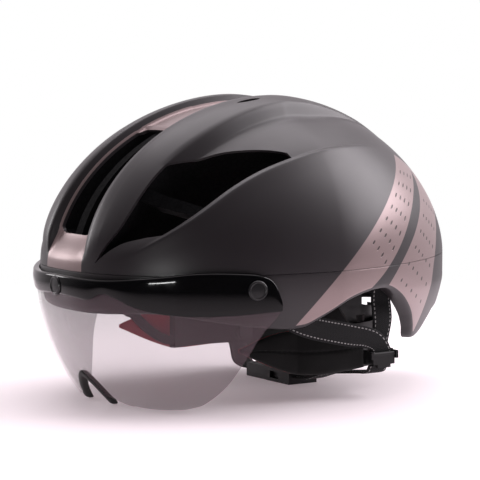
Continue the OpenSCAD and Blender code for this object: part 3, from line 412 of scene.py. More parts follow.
def shield_point(t, z, off):
    """The shield's surface: t degrees round from the centre line, at height z, off outside the shell.
    In plan it is a superellipse that draws in towards the bottom, with a power of the depth."""
    w = np.maximum((SEAM_Z - z)/SEAM_Z, 0)
    ahead, half = SHELL.ahead + off - 27.8*w**2.2, SHELL.half + off - 20*w**3.3
    x = half*signed_power(np.sin(np.radians(t)), 2/SHELL.brow_power)
    y = BELLY_Y - ahead*signed_power(np.cos(np.radians(t)), 2/SHELL.brow_power)
    return np.stack(np.broadcast_arrays(x, y, z), -1)


def lens_low(t):
    """Lower edge of the lens, with the nose notch at the centre."""
    u = np.abs(t)
    notch = mix(NOSE_Z, NOSE_SIDE_Z, np.minimum(u/NOSE_HALF, 1)**1.3)
    side = mix(NOSE_SIDE_Z, 0.8, ease(NOSE_HALF, LENS_EDGE[0][0], u))
    return np.where(u < NOSE_HALF, notch, np.where(u < LENS_EDGE[0][0], side, curve(LENS_EDGE, u)))


def even(points, n):
    """n points at even spacing round a closed polyline."""
    p = np.concatenate([points, points[:1]])
    run = np.concatenate([[0], np.cumsum(np.linalg.norm(np.diff(p, axis=0), axis=1))])
    v = np.linspace(0, run[-1], n + 1)[:-1]
    return np.stack([np.interp(v, run, p[:, k]) for k in range(3)], -1)


# Meshes

def grid_faces(rows, cols, wrap=False, close=False):
    """Quads of a grid of points: wrap joins the last column to the first, close joins the last row to the
    first."""
    i = np.arange(rows if close else rows - 1)[:, None]
    j = np.arange(cols if wrap else cols - 1)[None]
    i2, j2 = (i + 1) % rows, (j + 1) % cols
    return np.stack([i*cols + j, i*cols + j2, i2*cols + j2, i2*cols + j], -1).reshape(-1, 4)


def flip(faces):
    """The same faces turned over."""
    return faces[:, ::-1]


def piece(name, points, faces, node, finish, uv=None, sharp=38, recalc=False):
    """One finished object from points in millimetres and quads: welded, shaded smooth up to the sharp angle,
    riding on the body of the CAD node that it stands for."""
    mesh = bpy.data.meshes.new(name)
    faces = np.ascontiguousarray(faces, np.int32)
    mesh.vertices.add(len(points))
    mesh.vertices.foreach_set("co", (np.asarray(points, np.float32)*0.001).ravel())
    mesh.loops.add(faces.size)
    mesh.loops.foreach_set("vertex_index", faces.ravel())
    mesh.polygons.add(len(faces))
    mesh.polygons.foreach_set("loop_start", np.arange(0, faces.size, 4, dtype=np.int32))
    mesh.polygons.foreach_set("loop_total", np.full(len(faces), 4, np.int32))
    mesh.update(calc_edges=True)
    if uv is not None:
        corners = np.asarray(uv, np.float32)[faces.ravel()]
        mesh.uv_layers.new(name="Surface").data.foreach_set("uv", corners.ravel())
    bm = bmesh.new()
    bm.from_mesh(mesh)
    bmesh.ops.remove_doubles(bm, verts=bm.verts, dist=2e-6)
    bmesh.ops.dissolve_degenerate(bm, edges=bm.edges, dist=1e-7)
    if recalc:
        bmesh.ops.recalc_face_normals(bm, faces=bm.faces)
    bm.to_mesh(mesh)
    bm.free()
    mesh.shade_smooth()
    mesh.set_sharp_from_angle(angle=math.radians(sharp))
    obj = bpy.data.objects.new(name, mesh)
    bpy.context.collection.objects.link(obj)
    settle(obj, [node], finish)
    return obj


def settle(obj, nodes, finish):
    """Gives a piece its finish, its body and its material slot, and hides the CAD nodes it stands for."""
    obj.data.materials.append(finish)
    parent = frame["nodes"][nodes[0]].parent
    holder = next(name for name, empty in frame["bodies"].items() if empty == parent)
    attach(obj, holder)
    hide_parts(*nodes)


def walled(outer, inner, keep, rings=(), layers=1):
    """A wall between two grids of points: kept cells on both sides, a wall round every opening in them,
    and rings of points that carry the outer rim round to the inner rim."""
    rows, cols = keep.shape[0] + 1, keep.shape[1] + 1
    quads = grid_faces(rows, cols).reshape(rows - 1, cols - 1, 4)
    base = rows*cols
    points, faces = [outer.reshape(-1, 3), inner.reshape(-1, 3)], [quads[keep], flip(quads[keep]) + base]
    count = 2*base
    pad = np.pad(keep, 1, constant_values=True)
    sides = [(pad[:-2, 1:-1], 0, 1), (pad[1:-1, 2:], 1, 2), (pad[2:, 1:-1], 2, 3), (pad[1:-1, :-2], 3, 0)]
    for next_cell, a, b in sides:
        hit = keep & ~next_cell
        ia, ib = quads[hit][:, a], quads[hit][:, b]
        if not len(ia):
            continue
        flat_out, flat_in = points[0], points[1]
        u = np.linspace(0, 1, layers + 1)[:, None, None]
        la, lb = mix(flat_out[ia], flat_in[ia], u), mix(flat_out[ib], flat_in[ib], u)
        block = np.concatenate([la, lb], 1)
        n = len(ia)
        k = np.arange(n)
        for layer in range(layers):
            o, d = count + layer*2*n, count + (layer + 1)*2*n
            faces.append(np.stack([o + n + k, o + k, d + k, d + n + k], -1))
        points.append(block.reshape(-1, 3))
        count += block.shape[0]*block.shape[1]
    loop = np.concatenate([np.arange(cols), (rows - 1)*cols + np.arange(cols - 2, 0, -1)])
    chain = [loop]
    for ring in rings:
        points.append(ring)
        chain.append(count + np.arange(len(loop)))
        count += len(loop)
    chain.append(loop + base)
    for a, b in zip(chain, chain[1:]):
        faces.append(np.stack([a, b, np.roll(b, -1), np.roll(a, -1)], -1))
    return np.concatenate(points), np.concatenate(faces)


def tube_faces(rows, cols):
    """Quads round a row of closed sections, with strips of quads over both ends."""
    k = np.arange(cols//2 - 1)
    cap = np.stack([k, k + 1, cols - 2 - k, cols - 1 - k], -1)
    return np.concatenate([grid_faces(rows, cols, wrap=True), flip(cap), cap + (rows - 1)*cols])


def revolve(profile, n, place, axis):
    """A closed turned part: profile is [radius, height] from the axis round to the axis again, stood on place
    along axis."""
    profile = np.asarray(profile, float)
    a = np.linspace(0, 2*np.pi, n, endpoint=False)
    z = np.asarray(axis, float)/np.linalg.norm(axis)
    x = np.cross([0, 0, 1.0] if abs(z[2]) < 0.9 else [1.0, 0, 0], z)
    x = x/np.linalg.norm(x)
    y = np.cross(z, x)
    ring = np.cos(a)[:, None]*x + np.sin(a)[:, None]*y
    points = np.asarray(place) + profile[:, None, :1]*ring[None] + profile[:, None, 1:]*z
    return points.reshape(-1, 3), grid_faces(len(profile), n, wrap=True)


def joined(parts):
    """Several (points, faces) as one."""
    count, points, faces = 0, [], []
    for p, f in parts:
        points.append(p)
        faces.append(f + count)
        count += len(p)
    return np.concatenate(points), np.concatenate(faces)


# Materials

class Flow:
    """A value flowing through a material. Arithmetic on it adds Math nodes, so formulas read as Python."""

    def __init__(self, finish, socket):
        self.finish, self.socket = finish, socket

    def math(self, operation, *values):
        return self.finish.node("ShaderNodeMath", {"operation": operation}, dict(enumerate((self,) + values)))

    def __add__(self, v):
        return self.math("ADD", v)

    __radd__ = __add__

    def __sub__(self, v):
        return self.math("SUBTRACT", v)

    def __rsub__(self, v):
        return self.finish.node("ShaderNodeMath", {"operation": "SUBTRACT"}, {0: v, 1: self})

    def __mul__(self, v):
        return self.math("MULTIPLY", v)

    __rmul__ = __mul__

    def __truediv__(self, v):
        return self.math("DIVIDE", v)

    def __pow__(self, v):
        return self.math("POWER", v)

    def __abs__(self):
        return self.math("ABSOLUTE")

    def fract(self):
        return self.math("FRACT")

    def above(self, edge, soft=0.1):
        """0 below edge, 1 above it, over a short soft run."""
        return self.finish.node("ShaderNodeMapRange", {"interpolation_type": "SMOOTHSTEP"},
                                {"Value": self, "From Min": edge - soft, "From Max": edge + soft})

    def below(self, edge, soft=0.1):
        return 1 - self.above(edge, soft)

    def least(self, v):
        return self.math("MINIMUM", v)


class Finish:
    """One material. node() makes any node from its type, its settings, then its sockets' values or links."""

    def __init__(self, name, **sockets):
        self.material = bpy.data.materials.new(name)
        self.material.use_nodes = True
        self.tree = self.material.node_tree
        self.shader = self.tree.nodes["Principled BSDF"]
        self.set(**sockets)

    def feed(self, socket, value):
        """Links a flow to a socket, or sets a constant on it."""
        if isinstance(value, Flow):
            self.tree.links.new(value.socket, socket)
        elif socket.type == "RGBA" and len(value) == 3:
            socket.default_value = (*value, 1)
        else:
            socket.default_value = value

    def set(self, **sockets):
        """Feeds the shader's sockets by their names, with _ for a space."""
        for name, value in sockets.items():
            self.feed(self.shader.inputs[name.replace("_", " ")], value)

    def node(self, kind, settings=None, sockets=None, out=0):
        made = self.tree.nodes.new(kind)
        for key, value in (settings or {}).items():
            setattr(made, key, value)
        for key, value in (sockets or {}).items():
            self.feed(made.inputs[key], value)
        return Flow(self, made.outputs[out])

    def place(self):
        """Object coordinates in millimetres, as three flows."""
        if not hasattr(self, "xyz"):
            self.at = self.node("ShaderNodeTexCoord", out="Object")
            split = self.node("ShaderNodeSeparateXYZ", {}, {0: self.at}).socket.node
            self.xyz = [Flow(self, split.outputs[k])*1000 for k in range(3)]
        return self.xyz

    def surface(self):
        """The piece's own UV map, as two flows."""
        uv = self.node("ShaderNodeUVMap", {"uv_map": "Surface"}, out="UV")
        split = self.node("ShaderNodeSeparateXYZ", {}, {0: uv}).socket.node
        return [Flow(self, split.outputs[k]) for k in range(2)]

    def noise(self, size, detail=2.0, rough=0.5):
        """Noise whose lumps are about size millimetres across."""
        self.place()
        sockets = {"Vector": self.at, "Scale": 1000/size, "Detail": detail, "Roughness": rough}
        return self.node("ShaderNodeTexNoise", {}, sockets)

    def blend(self, mask, a, b):
        """Colour a where mask is 0 and colour b where it is 1."""
        return self.node("ShaderNodeMix", {"data_type": "RGBA"}, {0: mask, 6: a, 7: b}, out=2)

    def bump(self, height, depth, after=None):
        """A bump of depth millimetres."""
        sockets = {"Height": height, "Strength": 1.0, "Distance": depth*0.001}
        if after is not None:
            sockets["Normal"] = after
        return self.node("ShaderNodeBump", {}, sockets)


def shade(colour, share):
    """The same colour, darker or lighter by share."""
    return tuple(share*k for k in colour)


def panel_line(name, z):
    """Distance back of a panel's edge as a cubic of the height, fitted to the edge's knots."""
    knots = np.array(PANEL_EDGES[name])
    c = np.polyfit((knots[:, 0] - 90)/50, knots[:, 1], 3)
    u = (z - 90)/50
    return ((u*float(c[0]) + float(c[1]))*u + float(c[2]))*u + float(c[3])


def dot_rows(y, z, front, rear, first, step, lean, fan, rows, dots):
    """Rows of small round dots across a panel: rows step apart up the panel from the first, with the given
    number of dots each. A row drops towards the rear by lean at LEAN_Z, and by fan more for each millimetre
    below."""
    span = rear - front
    across = (y - front)/span
    along = z + (y - front)*((LEAN_Z - z)*fan + lean)
    cell = (across - DOTS_START)*(dots/DOTS_SHARE)
    dx = (cell.fract() - 0.5)*(DOTS_SHARE/dots)*span
    row = (along - first)/step
    dz = (row.fract() - 0.5)*step
    disc = (dx**2 + dz**2).below(1, 0.35)
    inside = across.above(DOTS_START, 0.01)*across.below(DOTS_START + DOTS_SHARE, 0.01)
    return disc*inside*row.above(0, 0.02)*row.below(rows, 0.02)


def paint_finish(settings):
    """Satin dark paint with bronze flank panels, their rows of small dots, and a bronze centre channel.
    The UV's second axis holds the zone of the shell that a point is in."""
    f = Finish("Satin_Paint", IOR=1.5, Coat_Roughness=0.2)
    _, y, z = f.place()
    _, v = f.surface()
    zone = abs(v*180 - 90)
    a, b = panel_line("first_front", z), panel_line("first_rear", z)
    c, d = panel_line("second_front", z), panel_line("second_rear", z)
    first = (y - a).above(0, PAINT_EDGE)*(b - y).above(0, PAINT_EDGE)
    second = (y - c).above(0, PAINT_EDGE)*(d - y).above(0, PAINT_EDGE)
    flank = (first + second)*zone.above((PLAIN + FLANK)/2, 0.05)
    centre = zone.below((CHANNEL + PLAIN)/2, 0.05)
    holes = first*dot_rows(y, z, a, b, **FIRST_DOTS) + second*dot_rows(y, z, c, d, **SECOND_DOTS)
    bronze = (flank + centre).least(1)
    cloud, grain = f.noise(22, 3, 0.6), f.noise(0.35, 1)
    dark = f.blend(cloud, settings.shell_colour, shade(settings.shell_colour, 0.82))
    warm = f.blend(grain, settings.bronze_colour, shade(settings.bronze_colour, 1.18))
    f.set(Base_Color=f.blend(holes*0.85, f.blend(bronze, dark, warm), (0.02, 0.017, 0.016)),
          Metallic=bronze*0.45, Roughness=0.40 + (cloud - 0.5)*0.06 - bronze*0.04,
          Normal=f.bump(grain, 0.012, f.bump(holes, -0.25)))
    return f.material


def plain_finish(name, colour, rough, grain_size, grain_depth, **more):
    """A moulded or coated finish: a slight cloudiness in colour and roughness over a fine grain."""
    f = Finish(name, **more)
    cloud, grain = f.noise(9, 3), f.noise(grain_size, 2, 0.6)
    f.set(Base_Color=f.blend(cloud, shade(colour, 0.8), shade(colour, 1.2)),
          Roughness=rough + (cloud - 0.5)*0.12)
    if grain_depth:
        f.set(Normal=f.bump(grain, grain_depth))
    return f.material


def foam_finish():
    """Moulded bead foam: soft cell edges from a Voronoi pattern, matt black."""
    f = Finish("Bead_Foam", Specular_IOR_Level=0.04)
    f.place()
    beads = f.node("ShaderNodeTexVoronoi", {"feature": "DISTANCE_TO_EDGE"},
                   {"Vector": f.at, "Scale": 1000/BEAD_SIZE})
    edge = f.node("ShaderNodeMapRange", {}, {"Value": beads, "From Min": 0.0, "From Max": 0.12})
    f.set(Base_Color=f.blend(edge, (0.0025, 0.0025, 0.003), (0.0045, 0.0045, 0.005)),
          Roughness=0.85 - edge*0.1, Normal=f.bump(edge, 0.04))
    return f.material


def lens_finish(settings):
    """Smoke-tinted polished lens: mostly clear tint, with the surface gloss on top."""
    f = Finish("Tinted_Lens", Base_Color=settings.lens_colour, Roughness=0.03, IOR=1.6, Coat_Weight=0.3,
               Coat_Roughness=0.02)
    _, _, z = f.place()
    f.set(Alpha=settings.lens_tint + (z - 40)*0.0006 + (f.noise(60) - 0.5)*0.02)
    return f.material


def knit_finish(name, colour, back):
    """Brushed knit: small interlocked loops, with the colour on the head's side and the backing where the
    UV's first axis passes 1."""
    f = Finish(name, Sheen_Weight=0.06, Sheen_Roughness=0.5, Specular_IOR_Level=0.2)
    x, y, z = f.place()
    u, _ = f.surface()
    loops = ((y + z)*LOOP_TURN).math("SINE")*((y + x*0.6 - z)*LOOP_TURN).math("SINE")*0.5 + 0.5
    fuzz = f.noise(2.2, 3, 0.6)
    face = f.blend(loops*0.4 + fuzz*0.6, shade(colour, 0.75), shade(colour, 1.15))
    rear = f.blend(fuzz, shade(back, 0.8), shade(back, 1.2))
    f.set(Base_Color=f.blend(u.above(1, 0.002), face, rear), Roughness=0.86 + fuzz*0.1,
          Normal=f.bump(loops*0.7 + fuzz*0.6, 0.05))
    return f.material


def webbing_finish(settings):
    """Woven webbing: herringbone ribs across the width and a dashed pale thread along both edges. The UV's
    first axis is the distance along in decimetres, the second runs 0 to 1 across."""
    f = Finish("Webbing", Sheen_Weight=0.03, Sheen_Roughness=0.5, Specular_IOR_Level=0.25)
    u, v = f.surface()
    along, across = u*100, (v - 0.5)*WEB_W
    weave = ((along + abs((across/(2*RIB_W)).fract() - 0.5)*2.4)*5.2).math("SINE")*0.5 + 0.5
    ribs = (across*6.28/RIB_W).math("SINE")*0.5 + 0.5
    line = abs(abs(across) - (WEB_W/2 - THREAD_INSET)).below(0.34, 0.08)
    stitch = (along/STITCH).fract()
    thread = line*stitch.below(0.62, 0.05)*stitch.above(0.08, 0.05)
    fuzz = f.noise(0.3)
    cloth = f.blend(weave*0.6 + fuzz*0.4, (0.004, 0.004, 0.0045), (0.011, 0.011, 0.012))
    f.set(Base_Color=f.blend(thread, cloth, settings.thread_colour), Roughness=0.82 - thread*0.2,
          Normal=f.bump(weave*0.5 + ribs*0.3 + thread*1.2, 0.2))
    return f.material


def steel_finish(name, colour, rough):
    """Turned or rolled metal with fine scratches."""
    f = Finish(name, Metallic=1.0)
    f.place()
    scratch = f.node("ShaderNodeTexNoise", {}, {"Vector": f.at, "Scale": 2600, "Detail": 2.0})
    wear = f.noise(4, 3)
    f.set(Base_Color=f.blend(wear, shade(colour, 0.8), colour), Roughness=rough + scratch*0.12,
          Normal=f.bump(scratch, 0.01))
    return f.material


# Settings, operators and panel

class HelmetSettings(bpy.types.PropertyGroup):
    shell_colour: bpy.props.FloatVectorProperty(
        name="Shell colour", description="Satin paint of both shells", subtype="COLOR",
        default=(0.019, 0.0155, 0.018), min=0, max=1)
    bronze_colour: bpy.props.FloatVectorProperty(
        name="Panel colour", description="Bronze paint of the panels and the centre channel", subtype="COLOR",
        default=(0.262, 0.198, 0.196), min=0, max=1)
    pad_colour: bpy.props.FloatVectorProperty(
        name="Pad colour", description="Knit on the pads' inner side", subtype="COLOR",
        default=(0.62, 0.03, 0.045), min=0, max=1)
    thread_colour: bpy.props.FloatVectorProperty(
        name="Thread colour", description="Dashed thread along the webbing", subtype="COLOR",
        default=(0.30, 0.29, 0.29), min=0, max=1)
    lens_colour: bpy.props.FloatVectorProperty(
        name="Lens colour", description="Smoke tint of the lens", subtype="COLOR",
        default=(0.075, 0.032, 0.048), min=0, max=1)
    lens_tint: bpy.props.FloatProperty(
        name="Lens tint", description="How much of what is behind the lens it hides", subtype="FACTOR",
        default=0.31, min=0.1, max=0.95)
    detail: bpy.props.FloatProperty(
        name="Shell detail", description="Fineness of the shells' grids", default=1.0, min=0.4, max=1.5)


class StageSettings(bpy.types.PropertyGroup):
    azimuth: bpy.props.FloatProperty(
        name="Azimuth", description="Camera's turn round the helmet", subtype="ANGLE",
        default=math.radians(56.2026))
    elevation: bpy.props.FloatProperty(
        name="Elevation", description="Camera's rise over the floor", subtype="ANGLE",
        default=math.radians(4.979))
    distance: bpy.props.FloatProperty(
        name="Distance", description="Camera's distance", subtype="DISTANCE", unit="LENGTH", default=1.33695)
    lens: bpy.props.FloatProperty(
        name="Focal length", description="Camera's focal length in millimetres", default=155.781)
    sky: bpy.props.FloatProperty(
        name="Room light", description="Strength of the pale room behind the helmet", default=0.9, min=0)


FINISHES = {}


def finishes():
    """Every finish, made once from the settings."""
    if not FINISHES:
        h = bpy.context.scene.helmet
        FINISHES.update(
            paint=paint_finish(h),
            foam=foam_finish(),
            lens=lens_finish(h),
            gloss=plain_finish("Gloss_Black", (0.003, 0.003, 0.0035), 0.07, 3.0, 0, IOR=1.3, Coat_Weight=0.05,
                               Coat_Roughness=0.02),
            button=plain_finish("Button_Black", (0.010, 0.010, 0.011), 0.30, 0.5, 0.01),
            rubber=plain_finish("Black_Rubber", (0.010, 0.010, 0.010), 0.55, 0.5, 0.03),
            plastic=plain_finish("Black_Plastic", (0.006, 0.006, 0.0065), 0.42, 0.6, 0.02,
                                 Specular_IOR_Level=0.3),
            grey=plain_finish("Grey_Plastic", (0.045, 0.045, 0.048), 0.42, 0.6, 0.02),
            socket=plain_finish("Socket_Plastic", (0.009, 0.009, 0.0095), 0.5, 0.6, 0.02,
                                Specular_IOR_Level=0.3),
            knit=knit_finish("Pad_Knit", tuple(h.pad_colour), (0.004, 0.004, 0.004)),
            web=webbing_finish(h),
            steel=steel_finish("Steel", (0.55, 0.55, 0.57), 0.28),
            nickel=steel_finish("Nickel_Plate", (0.62, 0.61, 0.60), 0.2))
    return FINISHES


class MadePiece:
    """What the operators share: each makes its pieces and always finishes."""
    bl_options = {"REGISTER", "UNDO"}

    def execute(self, context):
        self.make(context.scene.helmet, finishes())
        return {"FINISHED"}


class HELMET_OT_shells(MadePiece, bpy.types.Operator):
    """Outer shell with its ridges, centre channel and vents, and the lower shell with its rolled rim"""
    bl_idname = "helmet.shells"
    bl_label = "Shells"

    def make(self, h, f):
        s, t, openings, _ = shell_grid(h.detail)
        height = relief(s, t)
        base = dome(SHELL, s[:, None], t)
        points, faces = walled(lift(base, height), lift(base, height - SKIN), ~openings)
        over_crease = np.abs(t) > curve(CREASE, s)[:, None] + 0.1
        zone = np.where(np.abs(t) < CHANNEL_HALF - 0.6, CHANNEL, np.where(over_crease, FLANK, PLAIN))
        uv = np.stack([np.broadcast_to(s[:, None]/180, t.shape), zone_mark(zone)], -1).reshape(-1, 2)
        inside = np.broadcast_to([0.5, zone_mark(PLAIN)], (len(points) - len(uv), 2))
        piece("shell_upper", points, faces, "outer_shell", finish=f["paint"],
              uv=np.concatenate([uv, inside]), sharp=50)

        turn = np.linspace(-90, 90, 3000)
        loop = np.concatenate([dome(SHELL, 0, turn), dome(SHELL, 180, turn[::-1])[1:-1]])
        seam = even(loop, RIM_POINTS)
        rim = rim_height(seam)
        top = SEAM_Z - SEAM_GAP
        # The skirt's rows run down the outside, round the rolled rim and up the inside.
        shares = np.concatenate([[0], np.linspace(0.01, 1, 16)])
        rows = [skirt(seam, mix(top, rim + RIM_ROUND, u), 0.0 if u else SEAM_INSET) for u in shares]
        turned = np.linspace(0.12, 1, 9)
        drop = curve([[0, RIM_ROUND], [0.33, 0.9], [0.66, 0], [1, 0.2]], turned)
        tuck = curve([[0, 0], [0.33, 0.09], [0.66, 0.36], [1, 1]], turned)
        rows += [skirt(seam, rim + a, b*roll_width(seam)) for a, b in zip(drop, tuck)]
        rows += [skirt(seam, rim + 0.2 + SKIN*0.8, roll_width(seam))]
        rows += [skirt(seam, mix(top, rim + RIM_ROUND, u), SKIN) for u in np.linspace(1, 0, 8)]
        rows = np.array(rows)
        faces = flip(grid_faces(len(rows), rows.shape[1], wrap=True, close=True))
        zone = np.where(np.arange(len(rows)) < len(shares), FLANK, PLAIN)[:, None]
        uv = [np.full(rows.shape[:2], 0.5), np.broadcast_to(zone_mark(zone), rows.shape[:2])]
        piece("shell_lower", rows.reshape(-1, 3), faces, "lower_shell", finish=f["paint"],
              uv=np.stack(uv, -1).reshape(-1, 2), sharp=50)


class HELMET_OT_foam(MadePiece, bpy.types.Operator):
    """Foam liner with its vents, inner bridges, air grooves and head space"""
    bl_idname = "helmet.foam"
    bl_label = "Foam liner"

    def make(self, h, f):
        s, t, _, openings = shell_grid(h.detail*FOAM_DETAIL)
        height = relief(s, t)
        base = dome(SHELL, s[:, None], t)
        outer = lift(base, height - FOAM_INSET)
        d = base - CORE
        d = d/np.linalg.norm(d, axis=-1)[..., None]
        across = np.abs(t)
        groove = GROOVE_DEPTH*ease(68, 73, s[:, None])*(1 - ease(138, 143, s[:, None]))
        groove = groove*ease(24, 27, across)*(1 - ease(33, 36, across))
        inner = CORE + d*(cave_scale(d) + groove)[..., None]
        seam = np.concatenate([base[0], base[-1][-2:0:-1]])
        cave = np.concatenate([inner[0], inner[-1][-2:0:-1]])
        rim = rim_height(seam)
        low = BROW_RIM_Z + curve(FOAM_EDGE, cave[..., 1])
        # The rings carry the foam's edge down inside the skirt, in under the rim and up to the head space.
        rings = [skirt(seam, mix(SEAM_Z - SEAM_GAP, rim + RIM_ROUND, u) + 0.3*(u == 1), FOAM_INSET)
                 for u in (0.0, 0.25, 0.5, 0.75, 1.0)]
        rings.append(skirt(seam, rim + 2.2, roll_width(seam) + 0.3))
        edge, lip = rings[-1], at_height(cave, low)
        rings += [mix(edge, lip, u) for u in (0.3, 0.6, 0.9)]
        rings += [lip + (cave - lip)*[0, 0, 0.04], at_height(cave, mix(low, SEAM_Z, 0.5))]
        points, faces = walled(outer, inner, ~openings, rings, layers=3)
        piece("foam_liner", points, faces, "liner", finish=f["foam"], sharp=45)


class HELMET_OT_shield(MadePiece, bpy.types.Operator):
    """Tinted lens, gloss brow frame, nose bridge and round magnet buttons"""
    bl_idname = "helmet.shield"
    bl_label = "Shield"

    def make(self, h, f):
        off = SHIELD_GAP + LENS_T
        self.lens(f, off)
        self.brow(f, off)
        self.nose(f, off)
        self.buttons(f, off)

    def lens(self, f, off):
        """A sheet on the shield's surface, notched over the nose, its two long edges slightly rounded."""
        t = [np.linspace(-SHIELD_END, SHIELD_END, 241), np.linspace(-NOSE_HALF, NOSE_HALF, 61)]
        t = np.unique(np.concatenate(t))[:, None]
        high = SEAM_Z + curve(FRAME_LOW, np.abs(t)) + LENS_LAP
        low = np.minimum(lens_low(t), high - 3)
        down, up = np.linspace(1, 0, 31), np.linspace(0, 1, 31)
        bottom, top = low + LENS_ROUND, high - LENS_ROUND
        front = shield_point(t, mix(bottom, top, down), off)
        back = shield_point(t, mix(bottom, top, up), SHIELD_GAP)
        foot = shield_point(t, low + 0*t, off - LENS_EDGES)
        head = shield_point(t, high + 0*t, SHIELD_GAP + LENS_EDGES)
        section = np.concatenate([front, foot, back, head], 1)
        piece("lens_shell", section.reshape(-1, 3), flip(tube_faces(*section.shape[:2])), "lens",
              finish=f["lens"], sharp=40, recalc=True)

    def brow(self, f, off):
        """The gloss frame: a slightly bowed face with rounded edges, stepped behind to lap over the lens."""
        t = np.linspace(-SHIELD_END, SHIELD_END, 361)[:, None]
        low, top = SEAM_Z + curve(FRAME_LOW, np.abs(t)), SEAM_Z + curve(FRAME_TOP, np.abs(t))
        face = off + FRAME_T
        outline = [(top, face - 1.1), (top - 0.25, face - 0.5), (top - 0.8, face - 0.1)]
        outline += [(mix(top - 1.4, low + 1.4, u), face + 0.3*math.sin(math.pi*u))
                    for u in np.linspace(0, 1, 9)]
        outline += [(low + 0.7, face - 0.1), (low + 0.2, face - 0.5), (low, face - 1.0), (low, off + 0.1),
                    (low + FRAME_LAP, off + 0.1), (low + FRAME_LAP, SHIELD_GAP),
                    (mix(top, low + FRAME_LAP, 0.5), SHIELD_GAP), (top, SHIELD_GAP)]
        section = np.concatenate([shield_point(t, z, o*np.ones_like(t)) for z, o in outline], 1)
        piece("brow_frame", section.reshape(-1, 3), flip(tube_faces(*section.shape[:2])), "visor_frame",
              finish=f["gloss"], sharp=35, recalc=True)

    def nose(self, f, off):
        """A soft bead along the notch's edge, deeper towards both sides."""
        t = np.linspace(-NOSE_HALF - 0.6, NOSE_HALF + 0.6, 81)[:, None]
        top = lens_low(t) - 0.1
        low = np.maximum(top - 4.2 - 2.6*np.abs(t)/NOSE_HALF, 0.35)
        front, back = off + 0.6, SHIELD_GAP - 2.4
        a = np.linspace(0, 2*np.pi, 24, endpoint=False)
        z = (top + low)/2 + (top - low)/2*signed_power(np.sin(a), 0.6)
        section = shield_point(t, z, (front + back)/2 + (front - back)/2*signed_power(np.cos(a), 0.6))
        piece("nose_bridge", section.reshape(-1, 3), tube_faces(*section.shape[:2]), "nose_piece",
              finish=f["rubber"], recalc=True)

    def buttons(self, f, off):
        """A turned button square to the frame over each magnet."""
        parts = []
        for angle, rise in MAGNETS:
            z = np.array(SEAM_Z + rise)
            here, ahead, behind = (shield_point(np.array(angle + k), z, 0.0) for k in (0, 0.5, -0.5))
            run = ahead - behind
            out = np.array([run[1], -run[0], 0])/math.hypot(run[0], run[1])
            parts.append(revolve(BUTTON, 48, here + out*(off + FRAME_T - 0.5), out))
        points, faces = joined(parts)
        piece("magnet_buttons", points, faces, "visor_buttons", finish=f["button"],
              sharp=30, recalc=True)


def puff(u, v):
    """Thickness of a cushion as a share: drawn in at its edge, full in the middle."""
    return 0.3 + 0.7*np.sqrt(np.maximum((1 - np.abs(2*u - 1)**4)*(1 - np.abs(2*v - 1)**4), 0))


def cushion(place, rows, cols, thick, seams):
    """A closed pad over a patch: place(u, v, h) gives the point h off its seat. A soft crown rises between
    the edge and the sewn channels, which are narrow dips along v at the given places, with light puckers
    beside them. The edge carries a flat bound hem."""
    u, v = np.meshgrid(np.linspace(0, 1, rows), np.linspace(0, 1, cols), indexing="ij")
    h = thick*puff(u, v)
    for at in seams:
        pucker = PUCKER_RISE*np.exp(-((v - at)*14)**2)*np.sin(u*150 + at*9)
        h = h*(1 - SEAM_DIP*np.exp(-((v - at)*40)**2)) + pucker
    hem = np.minimum.reduce([u*rows/3, (1 - u)*rows/3, v*cols/3, (1 - v)*cols/3]).clip(0, 1)
    h = h*(0.55 + 0.45*np.sin(hem*np.pi/2)) + FOLD_RISE*np.sin(u*21 + v*5)*hem
    seat, crown = place(u, v, 0*h), place(u, v, h)
    count = rows*cols
    points, faces = np.concatenate([crown.reshape(-1, 3), seat.reshape(-1, 3)]), grid_faces(rows, cols)
    loop = np.concatenate([np.arange(cols), np.arange(2*cols - 1, rows*cols, cols),
                           rows*cols - 2 - np.arange(cols - 1), np.arange((rows - 2)*cols, 0, -cols)])
    wall = np.stack([loop, loop + count, np.roll(loop, -1) + count, np.roll(loop, -1)], -1)
    uv = np.concatenate([np.stack([u, v], -1).reshape(-1, 2), np.stack([u + BACK_U, v], -1).reshape(-1, 2)])
    return points, np.concatenate([faces, flip(faces) + count, wall]), uv


def brow_place(u, v, h):
    """Brow pad's seat: the front of the head space, from below the seam to above it."""
    t = mix(-56, 56, u)
    low = 3 + 5*np.abs(2*u - 1)**2
    z = mix(SEAM_Z - 22 + low, SEAM_Z + 8 - low, v)
    flat = lift_flat(at_height(dome(CAVE, 0*t, t), np.minimum(z, SEAM_Z)), -0.3 - h)
    high = lift(dome(CAVE, np.degrees(np.arcsin(np.clip((z - SEAM_Z)/CAVE.rise, 0, 1))), t), -0.8 - h)
    return np.where((z < SEAM_Z)[..., None], flat, high)


def crown_place(u, v, h):
    """Crown pad's seat: a long strip of the head space's roof beside the centre line."""
    return lift(dome(CAVE, mix(46, 128, u), mix(8 + 5*(2*u - 1)**2, 22, v)), -0.3 - h)


def side_place(u, v, h):
    """Side pad's seat: round the fit ring's outside, with a straight run forward to a pointed tip."""
    a = np.radians(mix(-52, 20, u))
    r = SLEEVE_OUT + 0.3
    knee = np.radians(-20)
    bend = np.stack([r*np.cos(a), RING_Y + r*np.sin(a)], -1)
    turn = np.degrees(a) + 20
    straight = np.stack([r*np.cos(knee) + turn*0.01, RING_Y + r*np.sin(knee) + turn*1.27], -1)
    p = np.where((turn > 0)[..., None], bend, straight)
    low = curve([[0, 34], [0.3, 22], [0.5, 17], [1, 18]], u)
    top = curve([[0, 36], [0.25, 43], [0.5, 45], [1, 44]], u)
    return np.stack([p[..., 0] + h, p[..., 1], mix(top, low, v)], -1)


